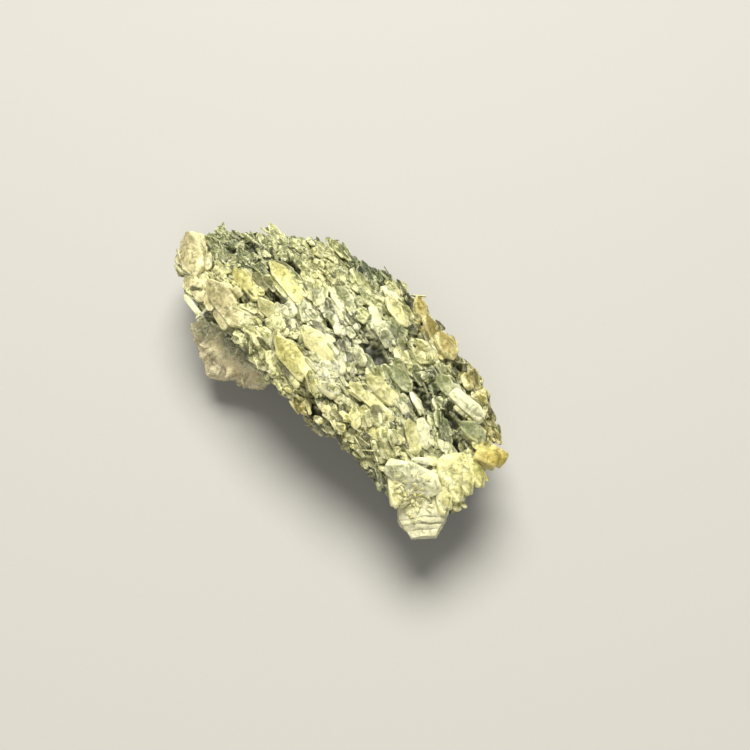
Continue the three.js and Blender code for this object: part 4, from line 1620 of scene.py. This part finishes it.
class Tree:
    """A material's nodes, added one by one."""

    def __init__(self, name):
        self.material = bpy.data.materials.new(name)
        self.material.use_nodes = True
        self.nodes = self.material.node_tree.nodes
        self.links = self.material.node_tree.links
        self.nodes.clear()
        self.output = self.nodes.new("ShaderNodeOutputMaterial")

    def link(self, source, target):
        self.links.new(source, target)

    def fill(self, node, values):
        for key, value in values.items():
            if isinstance(value, bpy.types.NodeSocket):
                self.link(value, node.inputs[key])
            else:
                node.inputs[key].default_value = value
        return node

    def attribute(self, name):
        node = self.nodes.new("ShaderNodeAttribute")
        node.attribute_name = name
        return node.outputs

    def place(self):
        return self.nodes.new("ShaderNodeTexCoord").outputs["Object"]

    def noise(self, vector, scale, detail=3.0, roughness=0.55, distortion=0.0):
        node = self.nodes.new("ShaderNodeTexNoise")
        values = {"Vector": vector, "Scale": scale, "Detail": detail}
        values |= {"Roughness": roughness, "Distortion": distortion}
        return self.fill(node, values).outputs["Fac"]

    def colour_noise(self, vector, scale):
        node = self.nodes.new("ShaderNodeTexNoise")
        return self.fill(node, {"Vector": vector, "Scale": scale, "Detail": 2.0}).outputs["Color"]

    def cell_edges(self, vector, scale):
        node = self.nodes.new("ShaderNodeTexVoronoi")
        node.feature = "DISTANCE_TO_EDGE"
        return self.fill(node, {"Vector": vector, "Scale": scale}).outputs["Distance"]

    def waves(self, vector, scale, distortion):
        node = self.nodes.new("ShaderNodeTexWave")
        node.bands_direction = "X"
        values = {"Vector": vector, "Scale": scale, "Distortion": distortion, "Detail": 3.0}
        return self.fill(node, values).outputs["Fac"]

    def remap(self, value, low, high, to_low=0.0, to_high=1.0):
        node = self.nodes.new("ShaderNodeMapRange")
        values = {"Value": value, "From Min": low, "From Max": high, "To Min": to_low, "To Max": to_high}
        return self.fill(node, values).outputs["Result"]

    def math(self, operation, first, second):
        node = self.nodes.new("ShaderNodeMath")
        node.operation = operation
        return self.fill(node, {0: first, 1: second}).outputs[0]

    def mix(self, factor, first, second, blend="MIX"):
        node = self.nodes.new("ShaderNodeMix")
        node.data_type = "RGBA"
        node.blend_type = blend
        return self.fill(node, {0: factor, 6: first, 7: second}).outputs[2]

    def bump(self, height, strength, distance):
        node = self.nodes.new("ShaderNodeBump")
        values = {"Height": height, "Strength": strength, "Distance": distance}
        return self.fill(node, values).outputs["Normal"]

    def surface(self, **values):
        node = self.nodes.new("ShaderNodeBsdfPrincipled")
        self.fill(node, {key.replace("_", " "): value for key, value in values.items()})
        self.link(node.outputs[0], self.output.inputs["Surface"])


def rgba(colour):
    """A colour with full alpha, as sockets want it."""
    return (*colour, 1)

print("quartz bends light by", QUARTZ_IOR)


# %% The quartz finish
# A painted highlight: the pale colour of rims and ridges.
RIM_HIGHLIGHT_COLOUR = (0.92, 0.90, 0.57)
CLOUD_COLOUR = (0.78, 0.76, 0.47)
# Chlorite stain, and the painted shade deep between the crystals.
CHLORITE_AND_SHADE_COLOUR = (0.05, 0.068, 0.016)
DEEP_TINT = (0.44, 0.52, 0.38)
GLOW = 0.5
GLOW_RADIUS = (1.0, 0.95, 0.6)
GLOW_DEPTH = 0.6
ABSORPTION_COLOUR = (0.88, 0.88, 0.52)
ABSORPTION_DENSITY = 50.0
TRANSMISSION = 0.6
MILKY_TRANSMISSION = 0.05
RELIEF_STRENGTH, RELIEF_DEPTH = 0.75, 0.0004


def quartz_finish(name, curd, most_milk, darkened, veiled):
    """Clouded quartz that follows each crystal's own coordinates, in millimetres."""
    tree = Tree(name)
    own = tree.attribute(LAYER_OWN)["Vector"]
    tint = tree.attribute(LAYER_TINT)["Color"]
    rim = tree.attribute(LAYER_RIM)["Fac"]
    deep = tree.mix(1.0, tint, rgba(DEEP_TINT), "MULTIPLY")
    clouds = tree.noise(own, 0.6, 3.0, 0.55, 0.6)
    body = tree.mix(tree.remap(clouds, 0.38, 0.58, 1 - veiled), deep, tint)
    veils = tree.noise(own, 0.85, 2.5, 0.55, 0.9)
    body = tree.mix(tree.remap(veils, 0.46, 0.36, 0.0, veiled), body, deep)
    milky_colour = tree.mix(0.5, tint, rgba(CLOUD_COLOUR))
    curdled = tree.math("ADD", tree.attribute(LAYER_MILK)["Fac"], tree.remap(veils, 0.3, 0.7, -curd, curd))
    milk = tree.remap(curdled, 0.25, 0.8, 0.0, most_milk)
    body = tree.mix(milk, body, milky_colour)
    stain = tree.noise(own, 0.8, 3.0, 0.55, 0.8)
    body = tree.mix(tree.remap(stain, 0.56, 0.72, 0.0, darkened), body, rgba(CHLORITE_AND_SHADE_COLOUR))
    # Chlorite dust and painted shade: spots deep between the crystals go dark, in patches.
    dust_and_shade = tree.math("MULTIPLY", tree.attribute(LAYER_DEEP)["Fac"], tree.remap(stain, 0.35, 0.52, 0.4, 1.0))
    body = tree.mix(dust_and_shade, body, rgba(CHLORITE_AND_SHADE_COLOUR))
    grain = tree.noise(own, 3.0, 4.0, 0.65)
    # Painted highlight: the rims turn pale, broken by fine noise.
    rim_highlight = tree.math("MULTIPLY", tree.remap(rim, 0.58, 0.95), tree.remap(grain, 0.36, 0.58, 0.3, 0.95))
    body = tree.mix(rim_highlight, body, tree.mix(0.65, tint, rgba(RIM_HIGHLIGHT_COLOUR)))
    lines = tree.waves(own, 1.5, 1.1)
    lined = tree.remap(tree.noise(own, 0.7, 2.0), 0.42, 0.62, 0.08, 0.4)
    dents = tree.noise(own, 1.5, 4.0, 0.65)
    relief = tree.math("ADD", tree.math("MULTIPLY", lines, lined), dents)
    normal = tree.bump(relief, RELIEF_STRENGTH, RELIEF_DEPTH)
    # The painted rim highlight and the milk both make the crystal less see-through.
    clouded = tree.math("ADD", rim_highlight, milk)
    rough = tree.remap(tree.noise(own, 1.7, 3.0), 0.3, 0.7, 0.04, 0.24)
    tree.surface(
        Base_Color=body,
        Roughness=rough,
        IOR=QUARTZ_IOR,
        Transmission_Weight=tree.remap(clouded, 0.0, 1.0, TRANSMISSION, MILKY_TRANSMISSION),
        Subsurface_Weight=GLOW,
        Subsurface_Radius=GLOW_RADIUS,
        Subsurface_Scale=GLOW_DEPTH * MM,
        Normal=normal,
    )
    absorb = tree.nodes.new("ShaderNodeVolumeAbsorption")
    tree.fill(absorb, {"Color": rgba(ABSORPTION_COLOUR), "Density": ABSORPTION_DENSITY})
    tree.link(absorb.outputs[0], tree.output.inputs["Volume"])
    return tree.material


clouded_quartz = quartz_finish("clouded quartz", curd=0.5, most_milk=0.9, darkened=0.55, veiled=0.9)
leading_quartz = quartz_finish("leading quartz", curd=0.35, most_milk=0.8, darkened=0.12, veiled=0.55)
print("finishes:", clouded_quartz.name, leading_quartz.name)

# %% [markdown]
# ## The finish of the rock and of the massive quartz
# Between the crystals the rock is a skin of tiny crystals and chlorite flakes. Painted shade makes it dark
# where it lies deep or dips in a crease, and a painted highlight makes it pale where small edges stand
# out, so its colour follows the ridges marked on the mesh. The ledge is massive quartz: beige and cloudy,
# with white seams where it cracked and healed, and a painted highlight on the ridges between its facets.
# Both could be painted, but noises and marks on the mesh fit the shape from any distance.

# %% The rock's finish
# Near black: the dark flakes, and the painted shade of creases and hollows.
HOLLOW_COLOUR = (0.022, 0.023, 0.012)
ROCK_GREEN = (0.20, 0.25, 0.10)
SKIN_SHADE = (0.27, 0.28, 0.19)


def rock_finish():
    """The skin of the rock: small crystals in their own tints and dark chlorite flakes, with painted shade
    in its creases and hollows and a painted highlight on its ridges.
    """
    tree = Tree("chlorite rock")
    place_mm = tree.attribute(LAYER_OWN)["Vector"]
    tint = tree.attribute(LAYER_TINT)["Color"]
    rim = tree.attribute(LAYER_RIM)["Fac"]
    patches = tree.noise(place_mm, 0.8, 5.0, 0.7, 0.6)
    body = tree.mix(1.0, tint, rgba(SKIN_SHADE), "MULTIPLY")
    body = tree.mix(tree.remap(patches, 0.45, 0.66, 0.0, 0.7), body, rgba(ROCK_GREEN))
    flakes = tree.noise(place_mm, 2.6, 5.0, 0.7, 1.0)
    body = tree.mix(tree.remap(flakes, 0.56, 0.7, 0.0, 0.6), body, rgba(HOLLOW_COLOUR))
    # Painted shade: where the mesh dips, in creases, the rock goes dark.
    body = tree.mix(tree.remap(rim, -0.08, -0.6), body, rgba(HOLLOW_COLOUR))
    # Painted highlight: ridges that stand out turn pale.
    rim_highlight = tree.math("MULTIPLY", tree.remap(rim, 0.15, 0.8, 0.0, 0.7), tree.remap(flakes, 0.6, 0.42))
    body = tree.mix(rim_highlight, body, rgba(RIM_HIGHLIGHT_COLOUR))
    # Painted shade: the hollows go nearly black, a little less where flakes stand.
    open_flakes = tree.remap(flakes, 0.62, 0.5, 0.3, 1.0)
    hollow = tree.math("MULTIPLY", tree.attribute(LAYER_DEEP)["Fac"], open_flakes)
    body = tree.mix(hollow, body, rgba(HOLLOW_COLOUR))
    tree.surface(
        Base_Color=body,
        Roughness=tree.remap(flakes, 0.3, 0.7, 0.2, 0.6),
        IOR=QUARTZ_IOR,
        Normal=tree.bump(flakes, 0.5, 0.0003),
    )
    return tree.material


chlorite_rock = rock_finish()
print("finish:", chlorite_rock.name)


# %% The massive quartz
SHADE_COLOUR = (0.34, 0.28, 0.17)
VEIL_COLOUR = (0.74, 0.68, 0.50)
SEAM_COLOUR = (0.93, 0.90, 0.66)
PIT_COLOUR = (0.20, 0.18, 0.10)
MASSIVE_TRANSMISSION = 0.15


def massive_finish():
    """Massive quartz: beige, glassy on its broken facets, with a painted highlight where they meet."""
    tree = Tree("massive quartz")
    own = tree.attribute(LAYER_OWN)["Vector"]
    tint = tree.attribute(LAYER_TINT)["Color"]
    rim = tree.attribute(LAYER_RIM)["Fac"]
    clouds = tree.noise(own, 0.35, 5.0, 0.6, 0.5)
    body = tree.mix(tree.remap(clouds, 0.4, 0.62, 0.0, 0.85), tint, rgba(SHADE_COLOUR))
    veils = tree.noise(own, 1.1, 4.0, 0.65, 1.4)
    body = tree.mix(tree.remap(veils, 0.5, 0.7, 0.0, 0.6), body, rgba(VEIL_COLOUR))
    swirl = tree.mix(0.35, own, tree.colour_noise(own, 0.5), "ADD")
    seams = tree.remap(tree.cell_edges(swirl, 0.42), 0.0, 0.07, 0.55, 0.0)
    seams = tree.math("MULTIPLY", seams, tree.remap(veils, 0.4, 0.6))
    body = tree.mix(seams, body, rgba(SEAM_COLOUR))
    pits = tree.noise(own, 1.9, 3.0, 0.6, 0.8)
    body = tree.mix(tree.remap(pits, 0.62, 0.7, 0.0, 0.6), body, rgba(PIT_COLOUR))
    # Painted highlight: the ridges between the broken facets turn pale.
    body = tree.mix(tree.remap(rim, 0.15, 0.8, 0.0, 0.7), body, rgba(RIM_HIGHLIGHT_COLOUR))
    fine = tree.noise(own, 3.5, 4.0, 0.6)
    tree.surface(
        Base_Color=body,
        Roughness=tree.remap(veils, 0.3, 0.7, 0.12, 0.42),
        IOR=QUARTZ_IOR,
        Transmission_Weight=MASSIVE_TRANSMISSION,
        Normal=tree.bump(fine, 0.4, 0.0002),
    )
    return tree.material


massive_quartz = massive_finish()
print("finish:", massive_quartz.name)

# %% [markdown]
# ## The pieces
# Every heap becomes one object that rides on the body and stands for the imported node. The chlorite dust
# and painted shade are marked last, on the grown carpet, because they depend on how deep each spot lies.

# %% The pieces
finish_piece("chlorite_plate", rock, chlorite_rock)
finish_piece("quartz_ledge", ledge, massive_quartz)
for heap in (carpet, fine):
    mark_deep(heap)
finish_piece("leading_crystals", named, leading_quartz)
finish_piece("carpet_crystals", carpet, clouded_quartz)
finish_piece("fine_crystals", fine, clouded_quartz)
finish_piece("underside_crystals", underside, massive_quartz)
finish_piece("end_crystals", ends, leading_quartz)
bpy.data.meshes.remove(spare_mesh)

# %% [markdown]
# ## The studio
# The cluster lies on a plain pale floor. One large soft light stands behind it, to the right, so its
# shadow falls towards the viewer, and a pale sky fills in the rest.

# %% Floor, lights and camera
FLOOR_SIZE = 1.6
FLOOR_COLOUR = (0.37, 0.366, 0.352)
FIBRE_COLOUR = (0.33, 0.326, 0.314)
FIBRE_SCALE = 900.0
LIGHTS = {
    "key": dict(at=(-0.24, 0.20, 0.74), size=0.56, power=13.0, colour=(1.0, 0.97, 0.88)),
    "fill": dict(at=(0.40, -0.35, 0.60), size=0.4, power=2.0, colour=(1.0, 0.98, 0.92)),
}
SKY_COLOUR = (0.84, 0.83, 0.79)
SKY_STRENGTH = 0.2
CAMERA_AZIMUTH = 51
CAMERA_ELEVATION = 60
CAMERA_LENS = 50.0
CAMERA_SENSOR = 36.0
CAMERA_PLACE = Vector((93.3, -63.1, 199.2)) * MM


def make_floor():
    bm = bmesh.new()
    bmesh.ops.create_grid(bm, x_segments=1, y_segments=1, size=FLOOR_SIZE / 2)
    mesh = bpy.data.meshes.new("floor")
    bm.to_mesh(mesh)
    bm.free()
    tree = Tree("card")
    fibres = tree.noise(tree.place(), FIBRE_SCALE, 4.0, 0.6)
    body = tree.mix(tree.remap(fibres, 0.3, 0.7, 0.0, 0.1), rgba(FLOOR_COLOUR), rgba(FIBRE_COLOUR))
    tree.surface(Base_Color=body, Roughness=0.85, Normal=tree.bump(fibres, 0.2, 0.0001))
    mesh.materials.append(tree.material)
    floor = bpy.data.objects.new("floor", mesh)
    bpy.context.scene.collection.objects.link(floor)


def make_light(name, spec):
    data = bpy.data.lights.new(name, "AREA")
    data.shape = "DISK"
    data.size = spec["size"]
    data.energy = spec["power"]
    data.color = spec["colour"]
    light = bpy.data.objects.new(name, data)
    light.location = spec["at"]
    light.rotation_euler = (-Vector(spec["at"])).to_track_quat("-Z", "Y").to_euler()
    bpy.context.scene.collection.objects.link(light)


def make_camera():
    azimuth, elevation = math.radians(CAMERA_AZIMUTH), math.radians(CAMERA_ELEVATION)
    flat = math.cos(elevation)
    back = Vector((math.sin(azimuth) * flat, -math.cos(azimuth) * flat, math.sin(elevation)))
    right = Vector((math.cos(azimuth), math.sin(azimuth), 0))
    turn = Matrix((right, back.cross(right), back)).transposed()
    data = bpy.data.cameras.new("camera")
    data.lens = CAMERA_LENS
    data.sensor_width = CAMERA_SENSOR
    data.clip_start = MM
    camera = bpy.data.objects.new("camera", data)
    camera.matrix_world = Matrix.Translation(CAMERA_PLACE) @ turn.to_4x4()
    bpy.context.scene.collection.objects.link(camera)
    bpy.context.scene.camera = camera


make_floor()
for light_name, light_spec in LIGHTS.items():
    make_light(light_name, light_spec)
make_camera()
world = bpy.data.worlds.new("sky")
world.use_nodes = True
sky = world.node_tree.nodes["Background"]
sky.inputs["Color"].default_value = rgba(SKY_COLOUR)
sky.inputs["Strength"].default_value = SKY_STRENGTH
bpy.context.scene.world = world
bpy.context.scene.view_settings.view_transform = "Standard"
print("camera and", len(LIGHTS), "lights")
